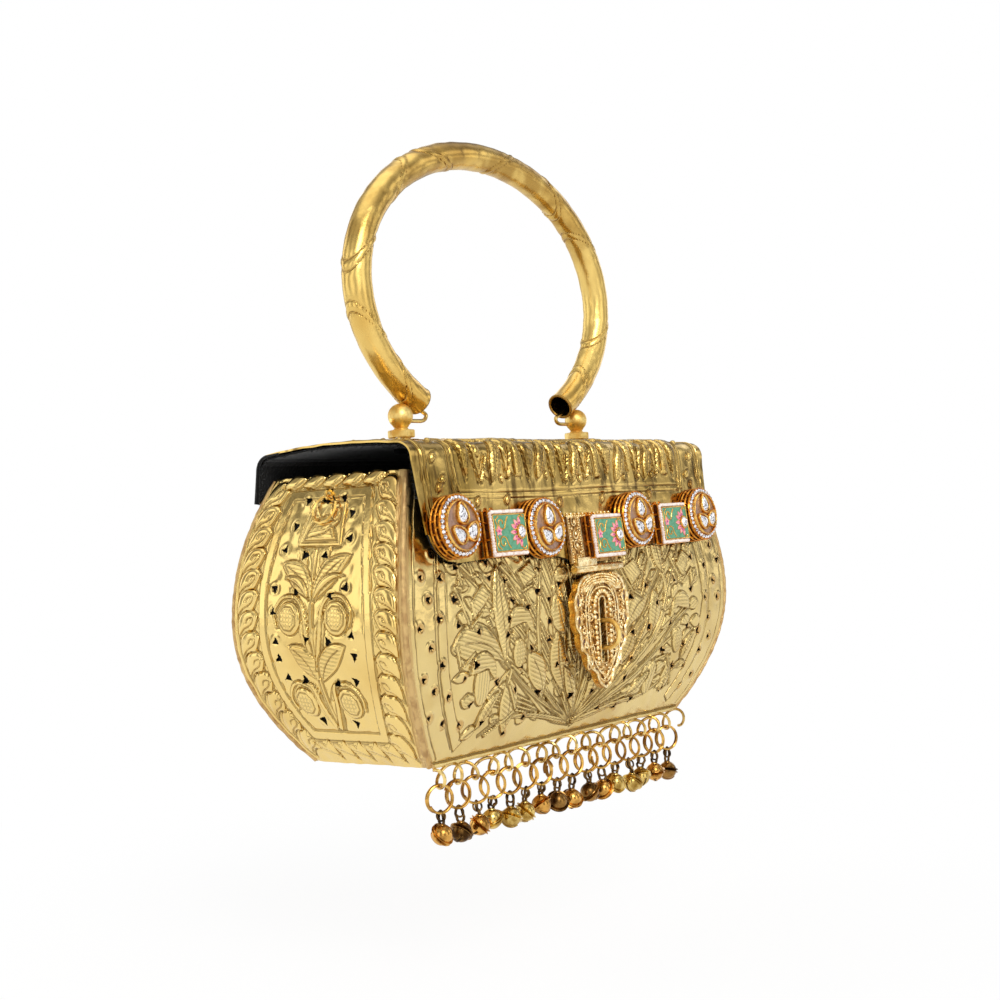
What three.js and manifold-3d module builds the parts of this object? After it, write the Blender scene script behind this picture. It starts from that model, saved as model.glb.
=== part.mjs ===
// A brass clutch bag: a bulged sheet box with an embossed lid, jewelled flap, hasp, ring handle and bells.
// Millimetres. X to the right, Y to the back, Z up. The bag is drawn from its base and then hung from the
// inner top of its handle, which is the origin of the finished group.
import * as THREE from 'three';
import { mergeVertices } from 'three/addons/utils/BufferGeometryUtils.js';
import Module from 'manifold-3d';

const wasm = await Module();
wasm.setup();

// Clearances and sheet
const seatGap = 0.3;
const runGap = 0.35;
const brassSheet = 0.8;
const velvetThickness = 0.7;

// Box body
const bodyHeight = 122;
const widestLevel = 60;
const baseHalfWidth = 96;
const middleHalfWidth = 125;
const rimHalfWidth = 106.3;
const baseHalfDepth = 32.4;
const middleHalfDepth = 48.8;
const rimHalfDepth = 37.7;
const reliefHeight = 0.9;
const pierceSize = 2.6;

// Lid
const lidOverhang = 6.3;
const lidHalfWidth = rimHalfWidth + lidOverhang;
const flapNarrowing = 5.1;
const flapHalfWidth = lidHalfWidth - flapNarrowing;
const lidRise = 12.8;
const crownRise = 1.6;
const lidBackDepth = 43.4;
const lidFrontDepth = 46;
const backFlapDrop = 18;
const frontFlapDrop = 46;
const flapLobeDrop = 5;
const flapLean = 0.108;
const cornerBend = 6;

// Lid hinge
const hingeLength = 150;
const hingeKnuckles = 5;
const hingeBarrelRadius = 2;
const hingePinRadius = 0.8;
const hingeLeafHeight = 9;

// Handle
const handleHalfWidth = 90;
const handleHalfHeight = 64;
const handleTubeRadius = 6.4;
const handleTubeWall = 1;
const handleMouthHalfGap = 54;
const hookWireRadius = 0.9;
const postSpacing = 133.4;
const postY = -1.5;
const postBallRadius = 5.5;
const postCollarRadius = 6.1;
const postStemRadius = 4;
const postStudRadius = 1.8;
const postHoleRise = 10.2;
// The oval stands so that its mouths keep their height over the posts' holes
const handleMouthRise = 8.8;
const handleMouthDrop = handleHalfHeight * Math.sqrt(1 - (handleMouthHalfGap / handleHalfWidth) ** 2);
const handleRise = handleMouthRise + handleMouthDrop;

// Jewels on the flap
const medallionRadius = 13;
const medallionThickness = 7.7;
const medallionEdge = 17.5;
const innerMedallionX = 36.5;
const outerMedallionX = lidHalfWidth - medallionEdge;
const medallionX = [-outerMedallionX, -innerMedallionX, innerMedallionX, outerMedallionX];
const medallionZ = [24.4, 27.2, 26, 25.6].map((drop) => bodyHeight - drop);
const plateWidth = 24.5;
const plateHeight = 19.6;
const plateThickness = 4.5;
const plateZ = [28.3, 32.6, 29].map((drop) => bodyHeight - drop);

// Hasp and staple
const haspX = 2.5;
const haspWidth = 37;
const haspLength = 51.5;
const haspThickness = 1.2;
const haspPinZ = bodyHeight - 46.2;
const haspPinRadius = 0.8;
const haspBarrelRadius = 1.9;
const haspLeafHeight = 21;
const slotWidth = 3.8;
const slotTopDrop = 13.5;
const slotBottomDrop = 42.2;
const stapleZ = haspPinZ - 29.8;
const stapleRadius = 6.1;
const stapleWireRadius = 0.8;
const stapleReach = 9.6;
const stapleDrillLength = 12;

// Side rings
const sideRingRadius = 6.2;
const sideRingWireRadius = 0.6;
const sideRingZ = bodyHeight - 9;
const eyeletRadius = 2;
const eyeletWireRadius = 0.6;
const eyeletDrillLength = 8;

// Bell fringe
const bellCount = 16;
const coilPitch = 11.76;
const coilFirstX = -90.6;
const coilRadius = 4;
const coilWireRadius = 0.6;
const coilY = -32.4;
const coilLean = 2.4;
const linkRadius = 5.75;
const linkWireRadius = 0.45;
const linkTurn = -28;
const bellRadius = 4.1;
const bellHalfHeight = 4.7;
const bellLoopLength = 5;

// Colours
const paleGold = { color: 0xe0bd5a, roughness: 0.3, metalness: 1 };
const oliveGold = { color: 0xb89a48, roughness: 0.22, metalness: 1 };
const orangeGold = { color: 0xd08a30, roughness: 0.3, metalness: 1 };
const velvetBlack = { color: 0x0a0a0a, roughness: 1, metalness: 0 };
const enamelGreen = { color: 0x5aa578, roughness: 0.3, metalness: 0 };

const bag = new THREE.Group();
const halfTurn = Math.PI;
const degrees = halfTurn / 180;

// Solids

function toSolid(geometry) {
  const bare = geometry.index ? geometry.clone() : geometry;
  bare.deleteAttribute('normal');
  bare.deleteAttribute('uv');
  const merged = mergeVertices(bare, 1e-4);
  return new wasm.Manifold(new wasm.Mesh({
    numProp: 3,
    vertProperties: new Float32Array(merged.attributes.position.array),
    triVerts: new Uint32Array(merged.index.array),
  }));
}

function toGeometry(solid) {
  const mesh = solid.getMesh();
  const geometry = new THREE.BufferGeometry();
  geometry.setAttribute('position', new THREE.BufferAttribute(mesh.vertProperties, 3));
  geometry.setIndex(new THREE.BufferAttribute(mesh.triVerts, 1));
  const flat = geometry.toNonIndexed();
  flat.computeVertexNormals();
  return flat;
}

function addPiece(name, solid, finish) {
  const mesh = new THREE.Mesh(toGeometry(solid), new THREE.MeshStandardMaterial(finish));
  mesh.name = name;
  bag.add(mesh);
  return mesh;
}

function join(solids) {
  return wasm.Manifold.union(solids);
}

// A closed geometry from numbered points and faces
function polyhedron(points, faces) {
  const geometry = new THREE.BufferGeometry();
  const corners = points.flatMap((p) => [p.x, p.y, p.z]);
  geometry.setAttribute('position', new THREE.Float32BufferAttribute(corners, 3));
  geometry.setIndex(faces.flat());
  return geometry;
}

function warp(geometry, place) {
  const position = geometry.attributes.position;
  const point = new THREE.Vector3();
  for (let i = 0; i < position.count; i += 1) {
    point.fromBufferAttribute(position, i);
    const moved = place(point.x, point.y, point.z);
    position.setXYZ(i, moved.x, moved.y, moved.z);
  }
  return geometry;
}

function moved(geometry, x, y, z, turnX = 0, turnY = 0, turnZ = 0) {
  const matrix = new THREE.Matrix4().makeRotationFromEuler(new THREE.Euler(turnX, turnY, turnZ));
  matrix.setPosition(x, y, z);
  return geometry.applyMatrix4(matrix);
}

function blockSolid(x0, x1, y0, y1, z0, z1) {
  const geometry = new THREE.BoxGeometry(x1 - x0, y1 - y0, z1 - z0);
  return toSolid(moved(geometry, (x0 + x1) / 2, (y0 + y1) / 2, (z0 + z1) / 2));
}

// A cylinder along X between two places
function barAlongX(x0, x1, y, z, radius, sides) {
  const geometry = new THREE.CylinderGeometry(radius, radius, x1 - x0, sides);
  return toSolid(moved(geometry, (x0 + x1) / 2, y, z, 0, 0, halfTurn / 2));
}

function flatShape(points) {
  return new THREE.Shape(points.map(([x, y]) => new THREE.Vector2(x, y)));
}

function extruded(shape, low, high, curveSegments = 6) {
  const geometry = new THREE.ExtrudeGeometry(shape, { depth: high - low, bevelEnabled: false, curveSegments });
  return geometry.translate(0, 0, low);
}

function regularShape(radius, sides) {
  const corners = Array.from({ length: sides }, (_, i) => {
    const angle = (2 * halfTurn * (i + 0.5)) / sides;
    return [radius * Math.cos(angle), radius * Math.sin(angle)];
  });
  return flatShape(corners);
}

function lathed(profile, sides) {
  const geometry = new THREE.LatheGeometry(profile.map(([r, z]) => new THREE.Vector2(r, z)), sides);
  return geometry.rotateX(halfTurn / 2);
}

// A ring of wire round the axis that its turn gives; its own axis is Z before it is turned
function wireRing(radius, wireRadius, sides, segments) {
  return new THREE.TorusGeometry(radius, wireRadius, sides, segments);
}

// Shape of the body

function bulge(level, low, middle, high) {
  if (level < widestLevel) return middle - (middle - low) * ((widestLevel - level) / widestLevel) ** 2;
  return middle - (middle - high) * ((level - widestLevel) / (bodyHeight - widestLevel)) ** 2;
}

// The panels are flat between a few levels, and everything set on them follows those flats
const panelRows = 7;
const panelLevels = Array.from({ length: panelRows + 1 }, (_, i) => (bodyHeight * i) / panelRows);

function faceted(low, middle, high) {
  const reaches = panelLevels.map((level) => bulge(level, low, middle, high));
  return (level) => {
    const i = THREE.MathUtils.clamp(Math.floor((level / bodyHeight) * panelRows), 0, panelRows - 1);
    const share = (level - panelLevels[i]) / (panelLevels[i + 1] - panelLevels[i]);
    return reaches[i] + (reaches[i + 1] - reaches[i]) * share;
  };
}

const halfWidth = faceted(baseHalfWidth, middleHalfWidth, rimHalfWidth);
const halfDepth = faceted(baseHalfDepth, middleHalfDepth, rimHalfDepth);

// How far in from the outer face a sheet lies at a level, at a depth measured square to the face
function inset(reach, level, depth) {
  const step = 0.5;
  const slope = (reach(level + step) - reach(level - step)) / (2 * step);
  return reach(level) - depth * Math.sqrt(1 + slope * slope);
}

const panels = {
  front: { reach: halfDepth, span: halfWidth, turn: 0 },
  right: { reach: halfWidth, span: halfDepth, turn: 90 },
  back: { reach: halfDepth, span: halfWidth, turn: 180 },
  left: { reach: halfWidth, span: halfDepth, turn: -90 },
};

// A place on a body panel: across it, up it, and out from its face
function onPanel(panel, across, level, out) {
  const step = 0.5;
  const slope = (panel.reach(level + step) - panel.reach(level - step)) / (2 * step);
  const length = Math.sqrt(1 + slope * slope);
  const place = new THREE.Vector3(across, -(panel.reach(level) + out / length), level - (out * slope) / length);
  return place.applyAxisAngle(new THREE.Vector3(0, 0, 1), panel.turn * degrees);
}

// Shape of the lid, from the foot of the back flap over the crown to the foot of the front flap

const lidEdgeZ = bodyHeight + lidRise - crownRise - 2;
const lidFrontFootZ = bodyHeight - frontFlapDrop;
const flapBendZ = lidEdgeZ - cornerBend;

function lidOutline() {
  const path = new THREE.Path();
  path.moveTo(lidBackDepth, bodyHeight - backFlapDrop + 8);
  path.lineTo(lidBackDepth - 1.6, lidEdgeZ - cornerBend);
  path.quadraticCurveTo(lidBackDepth - 1.8, lidEdgeZ, lidBackDepth - 1.8 - cornerBend, lidEdgeZ + 1.4);
  path.quadraticCurveTo(0, bodyHeight + lidRise + crownRise * 1.4, -(lidFrontDepth - cornerBend), lidEdgeZ + 2);
  path.quadraticCurveTo(-lidFrontDepth, lidEdgeZ + 0.5, -lidFrontDepth, flapBendZ);
  path.lineTo(-(lidFrontDepth + (flapBendZ - lidFrontFootZ) * flapLean), lidFrontFootZ);
  return path.getPoints(3);
}

const lidLine = lidOutline();
const lidSteps = lidLine.map((p, i) => (i ? p.distanceTo(lidLine[i - 1]) : 0));
const lidLength = lidSteps.reduce((a, b) => a + b, 0);

function lineNormal(points, i) {
  const before = points[Math.max(i - 1, 0)];
  const after = points[Math.min(i + 1, points.length - 1)];
  const along = after.clone().sub(before).normalize();
  return new THREE.Vector2(along.y, -along.x);
}

// A place on the lid: across it, along it from the foot of the front flap, and out from its face
function onLid(across, along, out) {
  let left = lidLength - along;
  let i = 1;
  while (i < lidLine.length - 1 && left > lidSteps[i]) {
    left -= lidSteps[i];
    i += 1;
  }
  const share = left / lidSteps[i];
  const point = lidLine[i - 1].clone().lerp(lidLine[i], share);
  const blend = THREE.MathUtils.clamp(share, 0, 1);
  const normal = lineNormal(lidLine, i - 1).lerp(lineNormal(lidLine, i), blend).normalize();
  return new THREE.Vector3(across, point.x + normal.x * out, point.y + normal.y * out);
}

const flapFaceY = (level) => -(lidFrontDepth + (flapBendZ - level) * flapLean);
const flapTilt = Math.atan(flapLean);
const flapLength = (flapBendZ - lidFrontFootZ) / Math.cos(flapTilt);
const crownZ = Math.max(...lidLine.map((p) => p.y));

// A sheet between an outer and an inner face, given by their corners row by row
function sheetSolid(rows) {
  const points = rows.flat();
  const faces = [];
  for (let i = 0; i < rows.length - 1; i += 1) {
    const low = i * 4;
    const high = low + 4;
    for (let side = 0; side < 4; side += 1) {
      const next = (side + 1) % 4;
      faces.push([low + side, low + next, high + next], [low + side, high + next, high + side]);
    }
  }
  const last = (rows.length - 1) * 4;
  faces.push([0, 2, 1], [0, 3, 2], [last, last + 1, last + 2], [last, last + 2, last + 3]);
  return toSolid(polyhedron(points, faces));
}

// Ornament, drawn flat and laid on a face by its placing function

// A leaf with a raised middle, between its stalk and its tip
function leaf(place, x, y, angle, length, width, rise = reliefHeight) {
  const sink = -0.35;
  const outline = [[0, 0], [0.42, 0.5], [1, 0], [0.42, -0.5]];
  const cos = Math.cos(angle * degrees);
  const sin = Math.sin(angle * degrees);
  const at = (u, v, out) => place(
    x + u * length * cos - v * width * sin, y + u * length * sin + v * width * cos, out);
  const points = [...outline.map(([u, v]) => at(u, v, sink)), at(0.42, 0, rise + 0.2)];
  const faces = [[0, 1, 2], [0, 2, 3], [4, 1, 0], [4, 2, 1], [4, 3, 2], [4, 0, 3]];
  return toSolid(polyhedron(points, faces));
}

// A raised line of triangular section that bends with the sheet at the given levels
function ridge(place, x0, y0, x1, y1, width, rise = 0.9, bends = panelLevels) {
  const sink = -0.35;
  const length = Math.hypot(x1 - x0, y1 - y0);
  const sideX = (-(y1 - y0) / length) * (width / 2);
  const sideY = ((x1 - x0) / length) * (width / 2);
  const allShares = bends.map((level) => (level - y0) / (y1 - y0));
  const bendShares = allShares.filter((share) => share > 0.04 && share < 0.96);
  const shares = [0, ...bendShares.sort((a, b) => a - b), 1];
  const points = shares.flatMap((share) => {
    const x = x0 + (x1 - x0) * share;
    const y = y0 + (y1 - y0) * share;
    return [place(x + sideX, y + sideY, sink), place(x - sideX, y - sideY, sink), place(x, y, rise)];
  });
  const faces = [[0, 1, 2]];
  for (let i = 0; i < shares.length - 1; i += 1) {
    for (let side = 0; side < 3; side += 1) {
      const a = i * 3 + side;
      const b = i * 3 + ((side + 1) % 3);
      faces.push([a, b + 3, b], [a, a + 3, b + 3]);
    }
  }
  const end = (shares.length - 1) * 3;
  faces.push([end, end + 2, end + 1]);
  return toSolid(polyhedron(points, faces));
}

// A low round flower head
function boss(place, x, y, radius, rise = reliefHeight) {
  const sides = 5;
  const points = [];
  for (let i = 0; i < sides; i += 1) {
    const angle = (2 * halfTurn * i) / sides;
    points.push(place(x + radius * Math.cos(angle), y + radius * Math.sin(angle), -0.35));
  }
  for (let i = 0; i < sides; i += 1) {
    const angle = (2 * halfTurn * i) / sides;
    points.push(place(x + 0.55 * radius * Math.cos(angle), y + 0.55 * radius * Math.sin(angle), rise));
  }
  const faces = [];
  for (let i = 1; i < sides - 1; i += 1) faces.push([0, i + 1, i], [sides, sides + i, sides + i + 1]);
  for (let i = 0; i < sides; i += 1) {
    const next = (i + 1) % sides;
    faces.push([i, next, next + sides], [i, next + sides, i + sides]);
  }
  return toSolid(polyhedron(points, faces));
}

// A three-cornered hole through a sheet
function pierce(place, x, y, size, angle) {
  const corners = [0, 1, 2].map((i) => {
    const turn = (angle + i * 120) * degrees;
    return [x + size * 0.62 * Math.cos(turn), y + size * 0.62 * Math.sin(turn)];
  });
  return toSolid(warp(extruded(flatShape(corners), -2 * brassSheet - 0.6, 1.6), place));
}

// Body panels

const cornerGap = 0.25;

function panelSheet(panel) {
  return sheetSolid(panelLevels.map((level) => {
    const outer = panel.span(level) - cornerGap;
    const inner = inset(panel.span, level, brassSheet) - cornerGap;
    return [onPanel(panel, -outer, level, 0), onPanel(panel, outer, level, 0),
      onPanel(panel, inner, level, -brassSheet), onPanel(panel, -inner, level, -brassSheet)];
  }));
}

// Legs of a wire eyelet near the rim of each end panel
const eyeletLevels = [sideRingZ - eyeletRadius, sideRingZ + eyeletRadius];

function eyeletDrills(panel) {
  return eyeletLevels.map((level) => {
    const radius = eyeletWireRadius + seatGap;
    const drill = new THREE.CylinderGeometry(radius, radius, eyeletDrillLength, 6);
    drill.rotateZ(halfTurn / 2);
    const seat = onPanel(panel, 0, level, 0);
    return toSolid(moved(drill, seat.x, 0, level));
  });
}

// End panel: scroll borders between grooves, a stem with leaves, flower heads and a framed bud
function endPanel(panel) {
  const place = (across, level, out) => onPanel(panel, across, level, out);
  const raised = [];
  const holes = eyeletDrills(panel);
  const scrolls = 7;
  const edgeBand = 8.8;
  const railFootX = 18;
  const railMiddleX = 24;
  const railTopX = 20;
  const railTop = bodyHeight - 14;
  for (const side of [-1, 1]) {
    for (let i = 0; i < scrolls; i += 1) {
      const level = 6 + (i * (bodyHeight - 18)) / (scrolls - 1);
      const across = side * (halfDepth(level) - edgeBand);
      raised.push(leaf(place, across + side * 2.2, level, side > 0 ? 122 : 58, 10, 5.6));
    }
    raised.push(ridge(place, side * railFootX, 9, side * railMiddleX, panelLevels[3], 1.6));
    raised.push(ridge(place, side * railMiddleX, panelLevels[3], side * railTopX, railTop, 1.6));
  }
  raised.push(ridge(place, -railTopX, railTop, railTopX, railTop, 1.6));
  raised.push(ridge(place, 0, 12, 0, 86, 2.6));
  for (const side of [-1, 1]) {
    for (const [level, angle, length] of [[66, 58, 17], [38, 66, 15]]) {
      raised.push(leaf(place, side * 3, level, side > 0 ? angle : 180 - angle, length, 7));
    }
    raised.push(boss(place, side * 13, 60, 5.6));
    raised.push(boss(place, side * 9.5, 24, 5.2));
    for (const [across, level, angle] of [[12, 13, 90], [18, 34, 60], [6, 47, 20], [20, 49, 90], [7, 74, 30],
      [18, 77, 80], [16, 97, 90]]) {
      holes.push(pierce(place, side * across, level, pierceSize, side > 0 ? angle : 180 - angle));
    }
  }
  raised.push(leaf(place, 0, 90, 90, 12, 6));
  return join([panelSheet(panel), ...raised]).subtract(join(holes));
}

// Front and back panels: margin strips with pierced bumps and a fan of stems with leaves from the foot
const marginWidth = 22;

function fanPanel(panel, fan, marginHoles) {
  const place = (across, level, out) => onPanel(panel, across, level, out);
  const raised = [ridge(place, -baseHalfWidth + 4, 4, baseHalfWidth - 4, 4, 1.4)];
  const holes = [];
  for (const side of [-1, 1]) {
    const marginLine = [9, panelLevels[2], panelLevels[4], 114].map((level) => [
      side * (halfWidth(level) - marginWidth), level]);
    for (let i = 1; i < marginLine.length; i += 1) {
      raised.push(ridge(place, ...marginLine[i - 1], ...marginLine[i], 1.6));
    }
    for (let i = 0; i < marginHoles; i += 1) {
      const level = 12 + (i * (bodyHeight - 22)) / (marginHoles - 1);
      const across = side * (halfWidth(level) - (i % 2 ? 16 : 9));
      holes.push(pierce(place, across, level, pierceSize, i % 2 ? 90 : -90));
    }
  }
  for (const [angle, reach, leaves] of fan) {
    const footZ = 8;
    const alongX = Math.cos(angle * degrees) * reach;
    const alongZ = Math.sin(angle * degrees) * reach;
    const at = (share) => [alongX * share, footZ + alongZ * share];
    const [tipX, tipZ] = at(0.8);
    raised.push(ridge(place, ...at(0.2), tipX, tipZ, 2));
    raised.push(leaf(place, tipX, tipZ, angle, reach * 0.2, 9));
    for (let i = 0; i < leaves; i += 1) {
      const [x, z] = at(0.36 + i * 0.22);
      raised.push(leaf(place, x, z, angle + (i % 2 ? -34 : 34), 15, 6.4));
      const [holeX, holeZ] = at(0.46 + i * 0.22);
      holes.push(pierce(place, holeX + (i % 2 ? -5 : 5), holeZ, pierceSize, angle));
    }
  }
  return join([panelSheet(panel), ...raised]).subtract(join(holes));
}

const fullFan = [[8, 92, 2], [30, 98, 1], [58, 96, 2], [90, 90, 1], [122, 96, 2], [150, 98, 1], [172, 92, 2]];
const sparseFan = [[12, 92, 0], [90, 88, 0], [168, 92, 0]];

// The staple is a half ring of wire whose legs pass through the front panel
const stapleFrontY = onPanel(panels.front, 0, stapleZ, 0).y;
const haspFaceY = flapFaceY(haspPinZ) - seatGap - haspBarrelRadius;
const stapleTipY = haspFaceY - haspThickness / 2 - stapleReach;
const stapleLegs = [-1, 1].map((side) => stapleZ + side * stapleRadius);
const stapleHoles = stapleLegs.map((level) => {
  const radius = stapleWireRadius + seatGap;
  const drill = new THREE.CylinderGeometry(radius, radius, stapleDrillLength, 6);
  return toSolid(moved(drill, haspX, stapleFrontY, level));
});

addPiece('front_panel', fanPanel(panels.front, fullFan, 6).subtract(join(stapleHoles)), paleGold);
addPiece('back_panel', fanPanel(panels.back, sparseFan, 2), paleGold);
addPiece('end_panel_left', endPanel(panels.left), paleGold);
addPiece('end_panel_right', endPanel(panels.right), paleGold);

const baseInset = (reach) => inset(reach, 0, brassSheet) - seatGap;
addPiece('base_panel', blockSolid(-baseInset(halfWidth), baseInset(halfWidth), -baseInset(halfDepth),
  baseInset(halfDepth), 0, brassSheet), paleGold);

// Velvet lining of the body, an open box just inside the sheets
function boxLoft(levels, depth) {
  const rows = levels.map((level) => {
    const x = inset(halfWidth, level, depth);
    const y = inset(halfDepth, level, depth);
    return [new THREE.Vector3(-x, -y, level), new THREE.Vector3(x, -y, level), new THREE.Vector3(x, y, level),
      new THREE.Vector3(-x, y, level)];
  });
  return sheetSolid(rows);
}

// The lining's levels are the panels' own between its floor and its rim, so that it follows their facets
function liningLevels(low, high) {
  return [low, ...panelLevels.filter((level) => level > low + 2 && level < bodyHeight - 2), high];
}

const liningDepth = brassSheet + seatGap;
const liningFloor = brassSheet + seatGap;
const bodyLining = boxLoft(liningLevels(liningFloor, bodyHeight - 0.5), liningDepth)
  .subtract(boxLoft(liningLevels(liningFloor + velvetThickness, bodyHeight + 1), liningDepth + velvetThickness));
addPiece('body_lining', bodyLining, velvetBlack);

// A wire swept through given points, with a joint at each of them
function sweptWire(points, radius, sides) {
  const rings = points.map((point, i) => {
    const before = points[Math.max(i - 1, 0)];
    const after = points[Math.min(i + 1, points.length - 1)];
    return { point, along: after.clone().sub(before).normalize() };
  });
  let across = new THREE.Vector3(1, 0, 0);
  if (Math.abs(rings[0].along.x) > 0.9) across = new THREE.Vector3(0, 1, 0);
  const corners = [];
  for (const { point, along } of rings) {
    across = across.clone().sub(along.clone().multiplyScalar(across.dot(along))).normalize();
    const up = along.clone().cross(across);
    for (let k = 0; k < sides; k += 1) {
      const angle = (2 * halfTurn * (k + 0.5)) / sides;
      corners.push(point.clone().addScaledVector(across, radius * Math.cos(angle))
        .addScaledVector(up, radius * Math.sin(angle)));
    }
  }
  const faces = [];
  for (let i = 0; i < rings.length - 1; i += 1) {
    for (let k = 0; k < sides; k += 1) {
      const a = i * sides + k;
      const b = i * sides + ((k + 1) % sides);
      faces.push([a, b, b + sides], [a, b + sides, a + sides]);
    }
  }
  const end = (rings.length - 1) * sides;
  for (let k = 1; k < sides - 1; k += 1) faces.push([0, k + 1, k], [end, end + k, end + k + 1]);
  return toSolid(polyhedron(corners, faces));
}

const stapleBend = stapleTipY + stapleWireRadius + stapleRadius;
const stapleRoot = (level) => {
  const seat = onPanel(panels.front, 0, level, -0.7 * brassSheet);
  return new THREE.Vector3(haspX, seat.y, level);
};
const stapleBow = Array.from({ length: 8 }, (_, i) => {
  const angle = (halfTurn * i) / 7;
  return new THREE.Vector3(haspX, stapleBend - stapleRadius * Math.sin(angle),
    stapleZ + stapleRadius * Math.cos(angle));
});
const stapleLine = [stapleRoot(stapleLegs[1]), ...stapleBow, stapleRoot(stapleLegs[0])];
addPiece('staple', sweptWire(stapleLine, stapleWireRadius, 6), paleGold);

// Lid: one bent sheet with a wavy front edge and rounded corners

function lidSheet(outer, inner, halfWidthAt, firstRow = 0, lastRow = lidLine.length - 1) {
  const rows = [];
  for (let i = firstRow; i <= lastRow; i += 1) {
    const normal = lineNormal(lidLine, i);
    const half = halfWidthAt(lidLine[i].y, lidLine[i].x);
    const at = (x, out) => new THREE.Vector3(x, lidLine[i].x + normal.x * out, lidLine[i].y + normal.y * out);
    rows.push([at(-half, outer), at(-half, inner), at(half, inner), at(half, outer)]);
  }
  return sheetSolid(rows);
}

function lidHalfWidthAt(level, y) {
  if (y > 0 || level > flapBendZ) return lidHalfWidth;
  return lidHalfWidth + ((flapHalfWidth - lidHalfWidth) * (flapBendZ - level)) / (flapBendZ - lidFrontFootZ);
}

// Everything below the wavy foot of the front flap
function belowFlap() {
  const edge = bodyHeight - frontFlapDrop + flapLobeDrop + 2.5;
  const foot = lidFrontFootZ + 2;
  const shape = new THREE.Shape();
  shape.moveTo(-lidHalfWidth - 5, lidFrontFootZ - 10);
  shape.lineTo(-lidHalfWidth - 5, edge + 12);
  shape.lineTo(-flapHalfWidth - 1.2, edge + 12);
  shape.quadraticCurveTo(-flapHalfWidth + 1, edge, -flapHalfWidth + 14, edge - 0.5);
  shape.quadraticCurveTo(-60, edge + 2.4, haspX - haspWidth / 2 - 12, edge - 0.5);
  shape.quadraticCurveTo(haspX - haspWidth / 2, foot, haspX, foot);
  shape.quadraticCurveTo(haspX + haspWidth / 2, foot, haspX + haspWidth / 2 + 12, edge - 0.5);
  shape.quadraticCurveTo(60, edge + 2.4, flapHalfWidth - 14, edge - 0.5);
  shape.quadraticCurveTo(flapHalfWidth - 1, edge, flapHalfWidth + 1.2, edge + 12);
  shape.lineTo(lidHalfWidth + 5, edge + 12);
  shape.lineTo(lidHalfWidth + 5, lidFrontFootZ - 10);
  const geometry = extruded(shape, 0, 30, 3);
  return toSolid(moved(geometry, 0, -lidFrontDepth + 14, 0, halfTurn / 2));
}

const postX = [-postSpacing / 2, postSpacing / 2];
const drillPosts = (radius) => join(postX.map((x) => toSolid(
  moved(new THREE.CylinderGeometry(radius, radius, 20, 10), x, postY, crownZ, halfTurn / 2))));

// Height of the raised line that runs just above the jewels, along the flap from its foot
const lidBends = lidSteps.map((_, i) => lidLength - lidSteps.slice(0, i + 1).reduce((a, b) => a + b, 0));
const jewelLine = (Math.max(...medallionZ) + medallionRadius - lidFrontFootZ) / Math.cos(flapTilt) + 2;

function lidOrnament() {
  const raised = [ridge(onLid, -flapHalfWidth + 4, jewelLine, flapHalfWidth - 4, jewelLine, 1.4, 0.6, [])];
  const crownLine = flapLength + 14;
  for (const side of [-1, 1]) {
    for (const drop of [8, 24]) {
      const x = side * (lidHalfWidth - drop);
      raised.push(ridge(onLid, x, jewelLine, x, crownLine + 50, 1.4, 0.6, lidBends));
    }
    raised.push(boss(onLid, side * (lidHalfWidth - 16), jewelLine + 7, 2.6, 1.2));
  }
  const leaves = 9;
  const leafReach = lidHalfWidth - 36.6;
  for (let i = 0; i < leaves; i += 1) {
    const x = -leafReach + (i * 2 * leafReach) / (leaves - 1);
    raised.push(leaf(onLid, x, jewelLine + 1.5, i % 2 ? 70 : 110, 11, 7));
    if (i % 3 === 1) raised.push(ridge(onLid, x, crownLine, x, crownLine + 50, 1.4, 0.5, lidBends));
  }
  return raised;
}

const postSeats = join(postX.map((x) => toSolid(moved(new THREE.CylinderGeometry(postStemRadius + 1,
  postStemRadius + 1, 3, 10), x, postY, crownZ + 1.5, halfTurn / 2))));
const lidSolid = join([lidSheet(0, -brassSheet, lidHalfWidthAt), ...lidOrnament()])
  .subtract(belowFlap()).subtract(drillPosts(postStudRadius + seatGap)).subtract(postSeats);
addPiece('lid', lidSolid, oliveGold);

const liningTop = -brassSheet - seatGap;
const liningEdge = 1.6;
const lidLining = lidSheet(liningTop, liningTop - velvetThickness,
  (level, y) => lidHalfWidthAt(level, y) - liningEdge, 1, lidLine.length - 1)
  .subtract(moveUp(belowFlap(), liningEdge)).subtract(drillPosts(postStudRadius + seatGap));
addPiece('lid_lining', lidLining, velvetBlack);

function moveUp(solid, rise) {
  return solid.translate([0, 0, rise]);
}

// Back hinge: two leaves with alternate knuckles on one pin
const hingeY = lidBackDepth + seatGap + hingeBarrelRadius + 0.6;
const hingeZ = bodyHeight - backFlapDrop + 5;
const knuckleLength = hingeLength / hingeKnuckles;

function hingeLeaf(first, stripBuilder) {
  const solids = [stripBuilder()];
  for (let i = 0; i < hingeKnuckles; i += 1) {
    const x0 = -hingeLength / 2 + i * knuckleLength;
    const place = [x0 + runGap / 2, x0 + knuckleLength - runGap / 2];
    if (i % 2 === first) solids.push(barAlongX(...place, hingeY, hingeZ, hingeBarrelRadius, 6));
  }
  const gaps = [];
  for (let i = 0; i < hingeKnuckles; i += 1) {
    const x0 = -hingeLength / 2 + i * knuckleLength;
    if (i % 2 !== first) {
      gaps.push(barAlongX(x0 - runGap / 2, x0 + knuckleLength + runGap / 2, hingeY, hingeZ,
        hingeBarrelRadius + runGap + 0.5, 6));
    }
  }
  const bore = barAlongX(-hingeLength, hingeLength, hingeY, hingeZ, hingePinRadius + runGap, 6);
  return join(solids).subtract(join([...gaps, bore]));
}

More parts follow.
